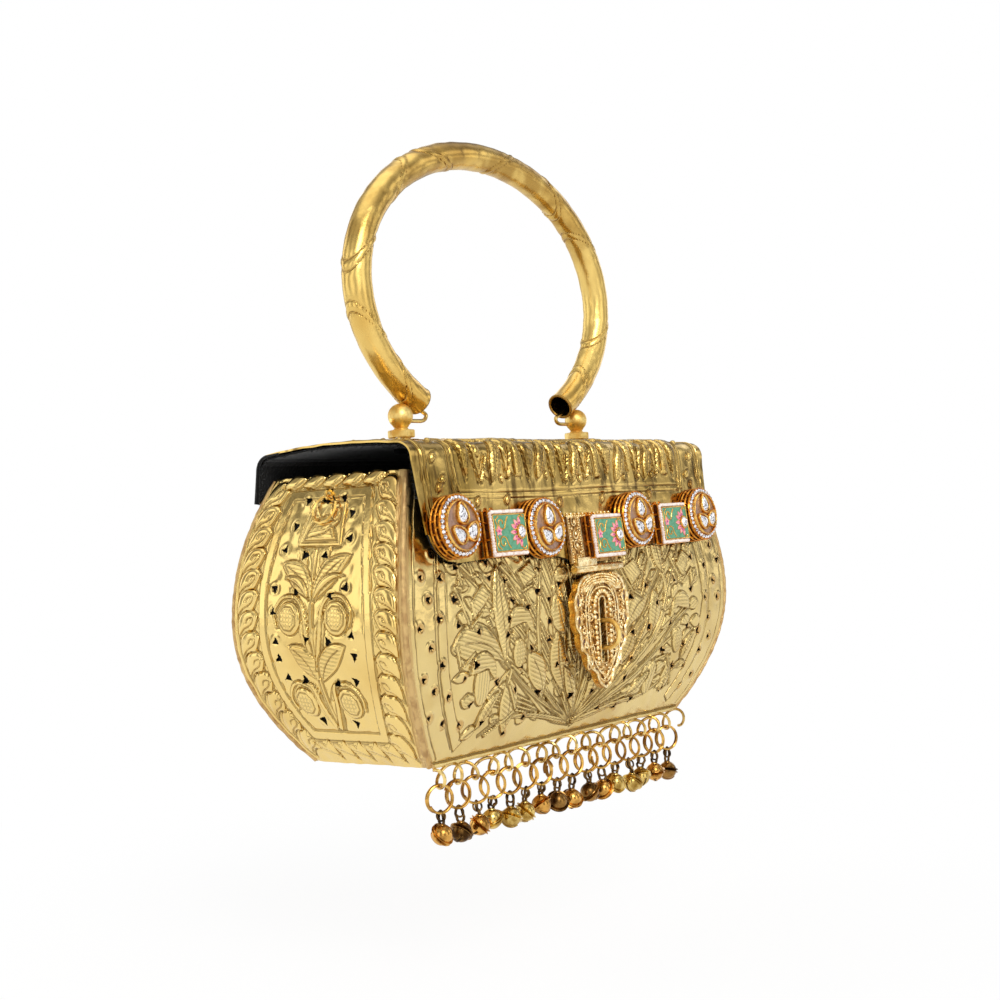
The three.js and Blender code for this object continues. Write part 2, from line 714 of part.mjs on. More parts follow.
// A strip along X with a given outline in depth and height
function stripAlongX(outline, length) {
  const geometry = extruded(flatShape(outline), -length / 2, length / 2);
  return toSolid(warp(geometry, (y, z, x) => new THREE.Vector3(x, y, z)));
}

const lidLeafFoot = lidLine[0].y;
const lidFaceY = (level) => lidBackDepth - (1.6 * (level - lidLeafFoot)) / (lidEdgeZ - cornerBend - lidLeafFoot);
addPiece('hinge_leaf_lid', hingeLeaf(1, () => stripAlongX([
  [lidFaceY(lidLeafFoot) + seatGap, lidLeafFoot + 0.5], [lidFaceY(lidLeafFoot) + seatGap + 1, lidLeafFoot - 2],
  [hingeY + 1, hingeZ + 0.8], [hingeY + 0.6, hingeZ + 1.6],
  [lidFaceY(lidLeafFoot) + seatGap + 0.9, lidLeafFoot + 1.2],
  [lidFaceY(lidLeafFoot + hingeLeafHeight) + seatGap + 0.8, lidLeafFoot + hingeLeafHeight],
  [lidFaceY(lidLeafFoot + hingeLeafHeight) + seatGap, lidLeafFoot + hingeLeafHeight],
], hingeLength)), paleGold);

const bodyLeafTop = hingeZ - hingeBarrelRadius;
const bodyFaceY = (level, out) => halfDepth(level) + out * 1.05;
addPiece('hinge_leaf_body', hingeLeaf(0, () => stripAlongX([
  [bodyFaceY(bodyLeafTop - hingeLeafHeight, reliefHeight + seatGap), bodyLeafTop - hingeLeafHeight],
  [bodyFaceY(bodyLeafTop - hingeLeafHeight, reliefHeight + seatGap + 0.8), bodyLeafTop - hingeLeafHeight],
  [bodyFaceY(bodyLeafTop, reliefHeight + seatGap + 0.8) + 0.4, bodyLeafTop],
  [hingeY + 1, hingeZ - 0.8], [hingeY - 1, hingeZ - 0.4],
  [bodyFaceY(bodyLeafTop, reliefHeight + seatGap), bodyLeafTop],
], hingeLength)), paleGold);

addPiece('hinge_pin', barAlongX(-hingeLength / 2 - 0.5, hingeLength / 2 + 0.5, hingeY, hingeZ, hingePinRadius, 6),
  paleGold);

// Handle posts: stem, collar and drilled ball, with a stud through the lid and a nut inside
const holeZ = crownZ + postHoleRise;
const postBase = crownZ + seatGap;
const nutTop = crownZ - brassSheet - 2 * seatGap - velvetThickness;
const nutHeight = 2.2;

function postSolid() {
  const ballZ = holeZ + 2;
  const ball = Array.from({ length: 5 }, (_, i) => {
    const angle = (-50 + (i * 140) / 4) * degrees;
    return [Math.max(postBallRadius * Math.cos(angle), 0), ballZ + postBallRadius * Math.sin(angle)];
  });
  ball[4][0] = 0;
  const collarLow = postBase + 2.6;
  const profile = [[0, nutTop - nutHeight - 0.8], [postStudRadius, nutTop - nutHeight - 0.8],
    [postStudRadius, postBase], [postStemRadius, postBase], [postStemRadius, collarLow],
    [postCollarRadius, collarLow], [postCollarRadius, collarLow + 3.4], [3.1, collarLow + 3.6], ...ball];
  const drill = barAlongX(-12, 12, 0, holeZ, hookWireRadius + runGap + 0.15, 8);
  return toSolid(lathed(profile, 8)).subtract(drill);
}

const nutShape = regularShape(3.6, 6);
nutShape.holes.push(new THREE.Path(regularShape(postStudRadius + seatGap, 8).getPoints()));
for (const [name, x] of [['left', postX[0]], ['right', postX[1]]]) {
  addPiece(`handle_post_${name}`, postSolid().translate([x, postY, 0]), paleGold);
  addPiece(`post_nut_${name}`, toSolid(extruded(nutShape, nutTop - nutHeight, nutTop)).translate([x, postY, 0]),
    paleGold);
}

// Handle: an open oval ring of tube, with a wire hook from each mouth into its post
const handleZ = holeZ + handleRise;
const mouthAngle = Math.acos(handleMouthHalfGap / handleHalfWidth);

function handlePoint(angle) {
  return new THREE.Vector3(handleHalfWidth * Math.cos(angle), postY, handleZ + handleHalfHeight * Math.sin(angle));
}

function handleTube() {
  const steps = 22;
  const centre = Array.from({ length: steps + 1 }, (_, i) => handlePoint(
    -mouthAngle + ((halfTurn + 2 * mouthAngle) * i) / steps));
  const first = centre[0].clone().lerp(centre[1], -0.2);
  const last = centre[steps].clone().lerp(centre[steps - 1], -0.2);
  const bore = sweptWire([first, ...centre.slice(1, -1), last], handleTubeRadius - handleTubeWall, 6);
  return sweptWire(centre, handleTubeRadius, 8).subtract(bore);
}

addPiece('handle_tube', handleTube(), paleGold);

function hookPoints(side) {
  const mouth = handlePoint(-mouthAngle);
  const inward = handlePoint(-mouthAngle - 0.05).sub(handlePoint(-mouthAngle + 0.05)).normalize();
  const under = new THREE.Vector3(-inward.z, 0, inward.x).multiplyScalar(inward.x < 0 ? 1 : -1);
  const seat = handleTubeRadius - handleTubeWall - hookWireRadius - 1.3;
  const postSide = postX[1] - postBallRadius;
  const drop = mouth.z - holeZ;
  const points = [
    mouth.clone().addScaledVector(inward, -12).addScaledVector(under, seat - 0.9),
    mouth.clone().addScaledVector(inward, -6).addScaledVector(under, seat - 0.2),
    mouth.clone().addScaledVector(under, seat),
    mouth.clone().addScaledVector(inward, 2.6).addScaledVector(under, seat),
    new THREE.Vector3(postSide - 11.5, postY, holeZ + drop * 0.34),
    new THREE.Vector3(postSide - 11.2, postY, holeZ + drop * 0.14),
    new THREE.Vector3(postSide - 9, postY, holeZ + 0.15),
    new THREE.Vector3(postSide - 5, postY, holeZ),
    new THREE.Vector3(postX[1], postY, holeZ),
    new THREE.Vector3(postX[1] + postBallRadius + 1, postY, holeZ),
  ];
  const line = new THREE.CatmullRomCurve3(points, false, 'centripetal').getPoints(12);
  return line.map((p) => new THREE.Vector3(side * p.x, p.y, p.z));
}

addPiece('handle_hook_left', sweptWire(hookPoints(-1), hookWireRadius, 5), paleGold);
addPiece('handle_hook_right', sweptWire(hookPoints(1), hookWireRadius, 5), paleGold);

// Jewels, built facing up and then set on the leaning flap

function onFlap(solid, x, level, standOff) {
  const matrix = new THREE.Matrix4().makeRotationX(halfTurn / 2 - flapTilt);
  const face = new THREE.Vector3(x, flapFaceY(level), level);
  const normal = new THREE.Vector3(0, -Math.cos(flapTilt), Math.sin(flapTilt));
  matrix.setPosition(face.addScaledVector(normal, standOff));
  return solid.transform(matrix.elements);
}

function pearStone(angle) {
  const shape = new THREE.Shape();
  shape.moveTo(0, 2);
  shape.quadraticCurveTo(4.2, 6.4, 0, 9.4);
  shape.quadraticCurveTo(-4.2, 6.4, 0, 2);
  const geometry = extruded(shape, medallionThickness - 1.4, medallionThickness + 0.4, 2);
  return toSolid(geometry.rotateZ(angle * degrees));
}

function medallion() {
  const recess = 1;
  const rim = medallionRadius - 3.2;
  const profile = [[0, 0], [medallionRadius, 0], [medallionRadius, medallionThickness - 0.8],
    [medallionRadius - 0.8, medallionThickness], [rim, medallionThickness], [rim - 0.4, medallionThickness - recess],
    [0, medallionThickness - recess]];
  return join([toSolid(lathed(profile, 14)), pearStone(0), pearStone(120), pearStone(240)]);
}

medallionX.forEach((x, i) => {
  addPiece(`medallion_${i + 1}`, onFlap(medallion(), x, medallionZ[i], seatGap), orangeGold);
});

function jewelPlate() {
  const border = 1.7;
  const halfX = plateWidth / 2;
  const halfZ = plateHeight / 2;
  const body = blockSolid(-halfX, halfX, -halfZ, halfZ, 0, plateThickness);
  const field = blockSolid(-halfX + border, halfX + 1, -halfZ + border, halfZ - border, plateThickness - 0.5,
    plateThickness + 1);
  const stone = toSolid(lathed([[0, 0], [2.6, 0], [2.6, 0.9], [1.3, 1.5], [0, 1.5]], 9))
    .translate([halfX - 4.6, 0, plateThickness - 0.9]);
  return join([body.subtract(field), stone]);
}

const plateStand = [seatGap, 2 * seatGap + haspThickness, seatGap];
const plateRight = [1, 2, 3].map((i) => medallionX[i] - medallionRadius - seatGap);
plateRight[1] -= 1.5;
plateRight.forEach((right, i) => {
  addPiece(`jewel_plate_${i + 1}`, onFlap(jewelPlate(), right - plateWidth / 2, plateZ[i], plateStand[i]),
    enamelGreen);
});

// Hasp: a leaf fixed to the flap, a hanging shield with a slot, and their pin
const haspHalf = haspWidth / 2;
const haspKnuckles = [-haspHalf, -haspHalf + 5.5, -3, 6, haspHalf - 5, haspHalf];

function haspBarrels(first) {
  const solids = [];
  for (let i = first; i < haspKnuckles.length - 1; i += 2) {
    const x0 = haspX + haspKnuckles[i] + runGap / 2;
    const x1 = haspX + haspKnuckles[i + 1] - runGap / 2;
    solids.push(barAlongX(x0, x1, haspFaceY, haspPinZ, haspBarrelRadius, 8));
  }
  return solids;
}

function haspGaps(first) {
  const solids = [];
  for (let i = first; i < haspKnuckles.length - 1; i += 2) {
    const x0 = haspX + haspKnuckles[i] - runGap / 2;
    const x1 = haspX + haspKnuckles[i + 1] + runGap / 2;
    solids.push(barAlongX(x0, x1, haspFaceY, haspPinZ, haspBarrelRadius + runGap + 0.3, 8));
  }
  return solids;
}

const haspBore = barAlongX(haspX - haspWidth, haspX + haspWidth, haspFaceY, haspPinZ, haspPinRadius + runGap, 8);
const leafTop = haspPinZ + 2.6 + haspLeafHeight;
const leafY = (level, out) => flapFaceY(level) - out;
const leafNeck = haspPinZ + haspBarrelRadius + 0.6;
const haspLeafStrip = stripAlongX([
  [leafY(haspPinZ + 1.2, seatGap), haspPinZ + 1.2], [leafY(leafTop, seatGap), leafTop],
  [leafY(leafTop, seatGap + haspThickness), leafTop], [leafY(leafNeck, seatGap + haspThickness), leafNeck],
  [haspFaceY - haspBarrelRadius + 0.3, haspPinZ + 1],
  [haspFaceY - 0.8, haspPinZ], [haspFaceY + 0.6, haspPinZ],
], haspWidth).translate([haspX, 0, 0]);
addPiece('hasp_leaf', join([haspLeafStrip, ...haspBarrels(0)]).subtract(join([...haspGaps(1), haspBore])),
  paleGold);

function shieldShape() {
  const shape = new THREE.Shape();
  const top = -2.6;
  const lobes = [[-haspHalf, top], [-haspHalf - 1, -10], [-haspHalf - 2.2, -19], [-haspHalf + 0.2, -28.5],
    [-haspHalf + 4.5, -38], [-haspHalf + 11.5, -46.5]];
  shape.moveTo(haspHalf, top);
  shape.lineTo(-haspHalf, top);
  for (let i = 1; i < lobes.length; i += 1) {
    const [x0, z0] = lobes[i - 1];
    const [x1, z1] = lobes[i];
    shape.quadraticCurveTo((x0 + x1) / 2 - 2.4, (z0 + z1) / 2 - 0.6, x1, z1);
  }
  shape.quadraticCurveTo(-haspHalf + 14, -haspLength, 0, -haspLength - 2.6);
  shape.quadraticCurveTo(haspHalf - 14, -haspLength, haspHalf - 11.5, -46.5);
  for (let i = lobes.length - 2; i >= 0; i -= 1) {
    const [x0, z0] = lobes[i + 1];
    const [x1, z1] = lobes[i];
    shape.quadraticCurveTo(-((x0 + x1) / 2 - 2.4), (z0 + z1) / 2 - 0.6, -x1, z1);
  }
  const slot = new THREE.Path();
  const half = slotWidth / 2;
  slot.moveTo(-half, -slotBottomDrop);
  slot.lineTo(half, -slotBottomDrop);
  slot.lineTo(half, -slotTopDrop - half);
  slot.quadraticCurveTo(half, -slotTopDrop, 0, -slotTopDrop);
  slot.quadraticCurveTo(-half, -slotTopDrop, -half, -slotTopDrop - half);
  shape.holes.push(slot);
  return shape;
}

function haspShield() {
  const plate = extruded(shieldShape(), -haspThickness / 2, haspThickness / 2, 2);
  const onShield = (x, z, out) => new THREE.Vector3(x, z, haspThickness / 2 + out);
  const rise = 0.8;
  const raised = [];
  for (const side of [-1, 1]) {
    raised.push(ridge(onShield, side * 4, -slotBottomDrop, side * 4, -slotTopDrop, 1.2, rise, []));
    raised.push(ridge(onShield, side * 12.5, -24, side * 3, -45, 1.4, rise, []));
    raised.push(ridge(onShield, side * 12.5, -8, side * 12.5, -24, 1.4, rise, []));
  }
  raised.push(ridge(onShield, -12.5, -6.5, 12.5, -6.5, 1.4, rise, []));
  const solid = join([toSolid(plate), ...raised]);
  const lug = toSolid(new THREE.BoxGeometry(haspWidth - 0.4, 3.6, haspThickness).translate(0, -1.6, 0));
  const upright = new THREE.Matrix4().makeRotationX(halfTurn / 2);
  upright.setPosition(haspX, haspFaceY, haspPinZ);
  return join([solid, lug]).transform(upright.elements);
}

addPiece('hasp_shield', join([haspShield(), ...haspBarrels(1)]).subtract(join([...haspGaps(0), haspBore])),
  paleGold);
const haspPinHalf = haspHalf + 0.6;
addPiece('hasp_pin', barAlongX(haspX - haspPinHalf, haspX + haspPinHalf, haspFaceY, haspPinZ, haspPinRadius, 8),
  paleGold);

// Side rings, each hanging from a small wire eyelet on its end panel
for (const [name, side, panel] of [['left', -1, panels.left], ['right', 1, panels.right]]) {
  const seat = (level, out) => onPanel(panel, 0, level, out);
  const eyeletOut = reliefHeight + seatGap;
  const footHalf = eyeletRadius;
  const root = [sideRingZ - footHalf, sideRingZ + footHalf].map((level) => {
    const foot = seat(level, -0.7 * brassSheet);
    foot.z = level;
    return foot;
  });
  const middle = seat(sideRingZ, eyeletOut + 0.6);
  const arc = Array.from({ length: 6 }, (_, i) => {
    const angle = (i / 5) * halfTurn;
    return new THREE.Vector3(middle.x + side * eyeletRadius * Math.sin(angle), 0,
      middle.z - eyeletRadius * Math.cos(angle));
  });
  addPiece(`eyelet_${name}`, sweptWire([root[0], ...arc, root[1]], eyeletWireRadius, 5), paleGold);
  const ringOut = eyeletRadius - eyeletWireRadius - sideRingWireRadius - seatGap;
  const hang = new THREE.Vector3(middle.x + side * ringOut, 0, middle.z - 0.2);
  const slope = Math.atan((halfWidth(sideRingZ - 12) - halfWidth(sideRingZ)) / 12);
  const ring = wireRing(sideRingRadius, sideRingWireRadius, 4, 12);
  ring.rotateY(halfTurn / 2);
  ring.translate(0, 0, -sideRingRadius);
  ring.rotateY(side * -(slope + 0.02));
  ring.translate(hang.x, hang.y, hang.z);
  addPiece(`side_ring_${name}`, toSolid(ring), paleGold);
}

// Fringe: a stretched wire coil under the front edge, and a link with a bell on each of its turns
const coilZ = -(seatGap + coilRadius + coilWireRadius);
const coilTurns = bellCount + 0.5;

function coilPoints() {
  const perTurn = 6;
  const count = Math.round(coilTurns * perTurn);
  return Array.from({ length: count + 1 }, (_, i) => {
    const turn = (i * coilTurns) / count;
    const angle = 2 * halfTurn * turn;
    const lean = (coilLean * (1 + Math.cos(angle))) / 2;
    return new THREE.Vector3(coilFirstX + (turn - 0.5) * coilPitch + lean, coilY - coilRadius * Math.sin(angle),
      coilZ + coilRadius * Math.cos(angle));
  });
}

addPiece('fringe_coil', sweptWire(coilPoints(), coilWireRadius, 4), paleGold);

const linkTopZ = coilZ - coilRadius + coilWireRadius + linkWireRadius + seatGap;
const linkZ = linkTopZ - linkRadius;
const bellZ = linkZ - linkRadius - bellLoopLength - bellHalfHeight + 0.6;

// A double-wound link, the bell's loop closed over its foot, and the bell
function pendant() {
  const link = wireRing(linkRadius, linkWireRadius, 3, 8).rotateX(halfTurn / 2).scale(1, 2, 1);
  const loopTop = -linkRadius + linkWireRadius + 0.2;
  const loop = new THREE.CylinderGeometry(0.9, 0.9, bellLoopLength + 1, 3);
  loop.rotateX(halfTurn / 2).translate(0, 0, loopTop - (bellLoopLength + 1) / 2);
  const profile = [-90, -30, 30, 90].map((angle) => [
    Math.abs(angle) === 90 ? 0 : 1.06 * bellRadius * Math.cos(angle * degrees),
    1.0 * bellHalfHeight * Math.sin(angle * degrees)]);
  const bell = lathed(profile, 6).translate(0, 0, bellZ - linkZ);
  return join([toSolid(link), toSolid(loop), toSolid(bell)]);
}

const onePendant = pendant().rotate([0, 0, linkTurn]);
for (let i = 0; i < bellCount; i += 1) {
  const name = `bell_${String(i + 1).padStart(2, '0')}`;
  addPiece(name, onePendant.translate([coilFirstX + i * coilPitch, coilY, linkZ]), orangeGold);
}

// Hang the bag from the inner top of its handle
const gripZ = handleZ + handleHalfHeight - handleTubeRadius;
bag.position.set(0, -postY, -gripZ);

export default bag;
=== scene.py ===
"""A brass clutch bag: chased and pierced sheet, a jewelled flap, a hasp, a ring handle and a bell fringe.

Sizes are millimetres from the middle of the bag's base; row() turns them into the frame's metres.
"""

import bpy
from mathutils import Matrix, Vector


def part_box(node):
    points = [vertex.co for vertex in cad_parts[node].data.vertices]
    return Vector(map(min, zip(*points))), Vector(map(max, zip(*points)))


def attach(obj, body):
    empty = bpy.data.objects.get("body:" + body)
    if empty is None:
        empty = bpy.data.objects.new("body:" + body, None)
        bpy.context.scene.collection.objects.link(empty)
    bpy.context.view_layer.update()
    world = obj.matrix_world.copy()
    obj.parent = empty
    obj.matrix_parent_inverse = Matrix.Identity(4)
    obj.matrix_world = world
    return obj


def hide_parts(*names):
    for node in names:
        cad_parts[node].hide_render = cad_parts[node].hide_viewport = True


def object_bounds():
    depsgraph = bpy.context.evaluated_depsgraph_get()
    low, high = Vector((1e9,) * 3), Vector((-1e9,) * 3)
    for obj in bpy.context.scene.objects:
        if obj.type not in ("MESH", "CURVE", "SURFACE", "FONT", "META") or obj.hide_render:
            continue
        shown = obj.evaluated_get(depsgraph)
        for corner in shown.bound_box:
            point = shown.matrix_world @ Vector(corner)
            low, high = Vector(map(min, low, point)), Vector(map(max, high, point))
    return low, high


bl_info = {
    "name": "Brass clutch bag",
    "version": (1, 0, 0),
    "blender": (4, 5, 0),
    "location": "3D View > Sidebar > Clutch",
    "description": "Dresses a brass box clutch with chased sheet, jewels, hasp, handle and bells",
    "category": "Object",
}

import math

import bpy
import numpy as np
from bpy.props import FloatProperty, FloatVectorProperty, IntProperty, PointerProperty
from mathutils import Matrix, Vector

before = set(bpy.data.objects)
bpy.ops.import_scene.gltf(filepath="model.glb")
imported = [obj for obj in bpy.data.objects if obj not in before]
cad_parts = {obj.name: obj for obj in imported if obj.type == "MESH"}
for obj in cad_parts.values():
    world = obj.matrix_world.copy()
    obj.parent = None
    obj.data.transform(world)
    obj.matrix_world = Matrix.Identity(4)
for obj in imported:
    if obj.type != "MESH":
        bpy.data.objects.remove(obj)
cad_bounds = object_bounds()

base_low, base_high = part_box("base_panel")
BASE_Z = base_low.z * 1000
BASE_Y = (base_low.y + base_high.y) * 500
BODY_HEIGHT = 122.0
WIDEST = 60.0
HALF_WIDTHS = (96, 125, 106.3)
HALF_DEPTHS = (32.4, 48.8, 37.7)
SHEET = 0.8
LID_HALF_FRONT = 107.5
LID_HALF_BACK = 112.6
CROWN_Z = 134.84
POST_X = 66.7
POST_Y = -1.5
HOLE_Z = CROWN_Z + 10.2
HANDLE_Z = HOLE_Z + 60
HANDLE_REACH = 90
HANDLE_RISE = 64
MOUTH_X = 54
TUBE_RADIUS = 6.4
FLAP_Y = 46
FLAP_LEAN = 0.108
FLAP_TILT = math.atan(FLAP_LEAN)
FLAP_BEND_Z = 125.2
FLAP_FOOT_Z = 76.0
HASP_X = 2.5
HASP_PIN_Z = 75.8
STAPLE_Z = 46
STAPLE_HALF = 6.1
MEDALLION_PLACES = ((-95.1, 97.6), (-36.5, 94.8), (36.5, 96.0), (95.1, 96.4))
PLATE_PLACES = ((-62.05, 93.7, 0.3), (9.45, 89.4, 1.8), (69.55, 93.0, 0.3))
COIL_FIRST_X = -90.6
COIL_PITCH = 11.76
COIL_Y = -32.4
COIL_Z = -4.9
RING_RADIUS = 5.75
BELL_COUNT = 16
HATCH_PITCH = 1.7
RELIEF_LAYERS = ("edge", "hatch_along", "hatch_across", "hatching", "crossing", "stain", "sanded")


# Places and curves


def row(points):
    """Millimetres on the bag to the frame's metres."""
    return (np.asarray(points, float) + (0, BASE_Y, BASE_Z)) / 1000


def bulge(level, low, middle, high):
    """A panel's reach at a level: widest at WIDEST, drawn in towards the base and the rim."""
    level = np.asarray(level, float)
    under = middle - (middle - low) * ((WIDEST - level) / WIDEST) ** 2
    over = middle - (middle - high) * ((level - WIDEST) / (BODY_HEIGHT - WIDEST)) ** 2
    return np.where(level < WIDEST, under, over)


def half_width(level):
    return bulge(level, *HALF_WIDTHS)


def half_depth(level):
    return bulge(level, *HALF_DEPTHS)


PANELS = {
    "front": (half_depth, half_width, 0),
    "right": (half_width, half_depth, 90),
    "back": (half_depth, half_width, 180),
    "left": (half_width, half_depth, -90),
}


def on_panel(side, across, level, out=0.0):
    """A place across and up a body panel and out from it, and the way out there."""
    reach, _, turn = PANELS[side]
    slope = reach(level + 0.5) - reach(level - 0.5)
    length = np.sqrt(1 + slope * slope)
    normal = np.stack([np.zeros_like(length), -1 / length, -slope / length], -1)
    place = np.stack([across + 0 * length, -reach(level), level + 0 * length], -1)
    place = place + normal * np.asarray(out)[..., None]
    angle = math.radians(turn)
    spin = np.array([[math.cos(angle), math.sin(angle), 0], [-math.sin(angle), math.cos(angle), 0],
                     [0, 0, 1]])
    return place @ spin, normal @ spin


def smooth_line(points, count):
    """A smooth line of count points through the given ones."""
    points = np.asarray(points, float)
    if len(points) == 2:
        share = np.linspace(0, 1, count)[:, None]
        return points[0] * (1 - share) + points[1] * share
    ends = np.concatenate([[2 * points[0] - points[1]], points, [2 * points[-1] - points[-2]]])
    result = []
    for place in np.linspace(0, len(points) - 1, count):
        i = min(int(place), len(points) - 2)
        t = place - i
        a, b, c, d = ends[i:i + 4]
        result.append(0.5 * (2 * b + (c - a) * t + (2 * a - 5 * b + 4 * c - d) * t ** 2
                             + (3 * b - a - 3 * c + d) * t ** 3))
    return np.array(result)


def side_of(line):
    along = np.gradient(line, axis=0)
    along /= np.linalg.norm(along, axis=1)[:, None] + 1e-9
    return np.stack([-along[:, 1], along[:, 0]], 1)


def square_to(along):
    """The unit way to the left of another way."""
    return np.array([-along[1], along[0]]) / np.linalg.norm(along)


def bent_line(root, tip, bend, t):
    """Places at shares t of the way from root to tip, on a line bent sideways."""
    root, tip = np.asarray(root, float), np.asarray(tip, float)
    along = tip - root
    return root + along * t + square_to(along) * bend * 4 * t * (1 - t)


def leaf_outline(root, tip, width, bend=0.0, belly=1.0, count=16):
    """A leaf between its root and its tip, bent sideways, widest where belly puts it."""
    t = np.linspace(0, 1, count)[:, None]
    middle = bent_line(root, tip, bend, t)
    half = 0.5 * width * np.sin(np.pi * t ** belly) ** 0.8
    side = side_of(middle)
    return np.concatenate([middle + side * half, (middle - side * half)[-2:0:-1]])


def ribbon_outline(points, width, taper=1.0, count=22):
    """A band of a width along a smooth line, tapered towards its end."""
    line = smooth_line(points, count)
    half = 0.5 * width * np.linspace(1, taper, count)[:, None]
    side = side_of(line)
    return np.concatenate([line + side * half, (line - side * half)[::-1]])


def round_outline(centre, radius_x, radius_y=None, count=20, turn=0.0):
    angle = np.linspace(0, 2 * np.pi, count, endpoint=False)
    flat = np.stack([radius_x * np.cos(angle), (radius_y or radius_x) * np.sin(angle)], 1)
    c, s = math.cos(turn), math.sin(turn)
    return flat @ np.array([[c, s], [-s, c]]) + centre


def divided(corners, shares):
    """An outline through corners, with a place at each share of each side."""
    count = len(corners)
    return np.array([corners[i] * (1 - share) + corners[(i + 1) % count] * share
                     for i in range(count) for share in shares])


def distances(places, outline, closed=True):
    """How far places are from an outline, negative inside a closed one, and the nearest places on it."""
    ends = np.roll(outline, -1, 0) if closed else outline[1:]
    starts = outline if closed else outline[:-1]
    along = ends - starts
    offset = places[:, None] - starts[None]
    share = np.clip((offset * along).sum(-1) / ((along * along).sum(-1) + 1e-12), 0, 1)
    nearest = starts + share[..., None] * along
    gaps = np.linalg.norm(places[:, None] - nearest, axis=-1)
    best = gaps.argmin(1)
    rows = np.arange(len(places))
    gap = gaps[rows, best]
    if closed:
        x, y = places[:, :1], places[:, 1:]
        crosses = ((starts[:, 1] > y) != (ends[:, 1] > y)) & (
            x < along[:, 0] * (y - starts[:, 1]) / (along[:, 1] + 1e-12) + starts[:, 0])
        gap = np.where(crosses.sum(1) % 2 == 1, -gap, gap)
    return gap, nearest[rows, best]


def waves(places, lengths, seed):
    """Smooth unevenness between about -1 and 1, of the given wave lengths."""
    dice = np.random.default_rng(seed)
    total = np.zeros(len(places))
    for length in lengths:
        for _ in range(5):
            turn, phase = dice.uniform(0, 2 * np.pi, 2)
            way = places[:, 0] * math.cos(turn) + places[:, 1] * math.sin(turn)
            total += np.sin(2 * np.pi * way / length + phase)
    return total / (2.2 * math.sqrt(5 * len(lengths)))


class Relief:
    """What a chaser does to a flat sheet: raised shapes, chased lines, hatching and pierced holes."""

    def __init__(self, places):
        count = len(places)
        self.places = places
        self.height = np.zeros(count)
        self.edge = np.full(count, 3.0)
        self.hatch_along = np.zeros(count)
        self.hatch_across = np.zeros(count)
        self.hatching = np.zeros(count)
        self.crossing = np.zeros(count)
        self.stain = np.zeros(count)
        self.sanded = np.zeros(count)

    def near(self, outline, margin):
        low, high = outline.min(0) - margin, outline.max(0) + margin
        inside = (self.places > low).all(1) & (self.places < high).all(1)
        return np.nonzero(inside)[0]

    def raise_shape(self, outline, rise=1.0, shoulder=1.6, hatch=None, cross=False, crease=0.3, pitch=1.0):
        """Beat a closed shape out of the sheet, with a chased line round it and hatching at an angle."""
        here = self.near(outline, 2.5)
        if not len(here):
            return
        gap, _ = distances(self.places[here], outline)
        old = self.edge[here]
        beside = old[(gap > 0) & (gap < 1.2)]
        outer = -1.0 if len(beside) and np.median(beside) < 0 else 1.0
        inside = gap < 0
        swell = np.clip(-gap / shoulder, 0, 1)
        dome = rise * np.sqrt(1 - (1 - swell) ** 2)
        ground = np.median(self.height[here][(gap > 0) & (gap < 1.5)]) if outer < 0 else 0.0
        self.height[here] = np.where(inside, ground + dome, self.height[here])
        self.height[here] -= crease * np.exp(-(gap / 0.5) ** 2)
        outside = np.where(gap < np.abs(old), np.sign(old) * np.abs(gap), old)
        self.edge[here] = np.where(inside, outer * gap, outside)
        self.hatching[here] = np.where(inside, 0, self.hatching[here])
        if hatch is None:
            return
        inner = here[inside]
        angle = math.radians(hatch)
        local = self.places[inner] - outline.mean(0)
        self.hatch_along[inner] = pitch * (local[:, 0] * math.cos(angle) + local[:, 1] * math.sin(angle))
        self.hatch_across[inner] = pitch * (local[:, 1] * math.cos(angle) - local[:, 0] * math.sin(angle))
        self.hatching[inner] = np.clip((-gap[inside] - 0.7) / 0.6, 0, 1)
        self.crossing[inner] = 1.0 if cross else 0.0

    def chase(self, points, depth=0.25, count=24):
        """Sink one line into the sheet."""
        line = smooth_line(points, count)
        here = self.near(line, 1.6)
        if not len(here):
            return
        gap, _ = distances(self.places[here], line, closed=False)
        old = self.edge[here]
        self.height[here] -= depth * np.exp(-(gap / 0.45) ** 2)
        self.edge[here] = np.where(gap < np.abs(old), np.sign(old) * gap, old)

    def stem(self, points, width=2.4, rise=0.8, taper=0.6):
        self.raise_shape(ribbon_outline(points, width, taper), rise, shoulder=width * 0.5, crease=0.25)

    def leaf(self, root, tip, width, bend=0.0, hatch=None, belly=1.0, rise=1.1, vein=True, **more):
        outline = leaf_outline(root, tip, width, bend, belly)
        self.raise_shape(outline, rise, shoulder=width * 0.34, hatch=hatch, **more)
        if vein:
            self.chase([bent_line(root, tip, bend, t) for t in (0.08, 0.35, 0.6, 0.82)], 0.18)

    def punch(self, centre, radius, lift, stained=True):
        """The lip that a punched hole raises, and the stain round it."""
        here = self.near(np.array([centre, centre], float), radius + 2.4)
        reach = np.linalg.norm(self.places[here] - centre, axis=1)
        self.height[here] += lift * np.exp(-((reach - radius) / 0.75) ** 2)
        if stained:
            self.stain[here] = np.maximum(self.stain[here], np.exp(-((reach - 0.7 * radius) / 1.3) ** 2))

    def store(self, mesh):
        """Write the layers that the brass's shader reads."""
        for key in RELIEF_LAYERS:
            mesh.attributes.new(key, "FLOAT", "POINT").data.foreach_set("value", getattr(self, key))


# Meshes


def deselect():
    if bpy.context.mode != "OBJECT":
        bpy.ops.object.mode_set(mode="OBJECT")
    bpy.ops.object.select_all(action="DESELECT")


def choose(*pieces):
    deselect()
    for piece in pieces:
        piece.select_set(True)
    bpy.context.view_layer.objects.active = pieces[0]


def corners_of(mesh):
    flat = np.empty(len(mesh.vertices) * 3)
    mesh.vertices.foreach_get("co", flat)
    return flat.reshape(-1, 3)


def move_corners(mesh, corners):
    mesh.vertices.foreach_set("co", corners.ravel())
    mesh.update()


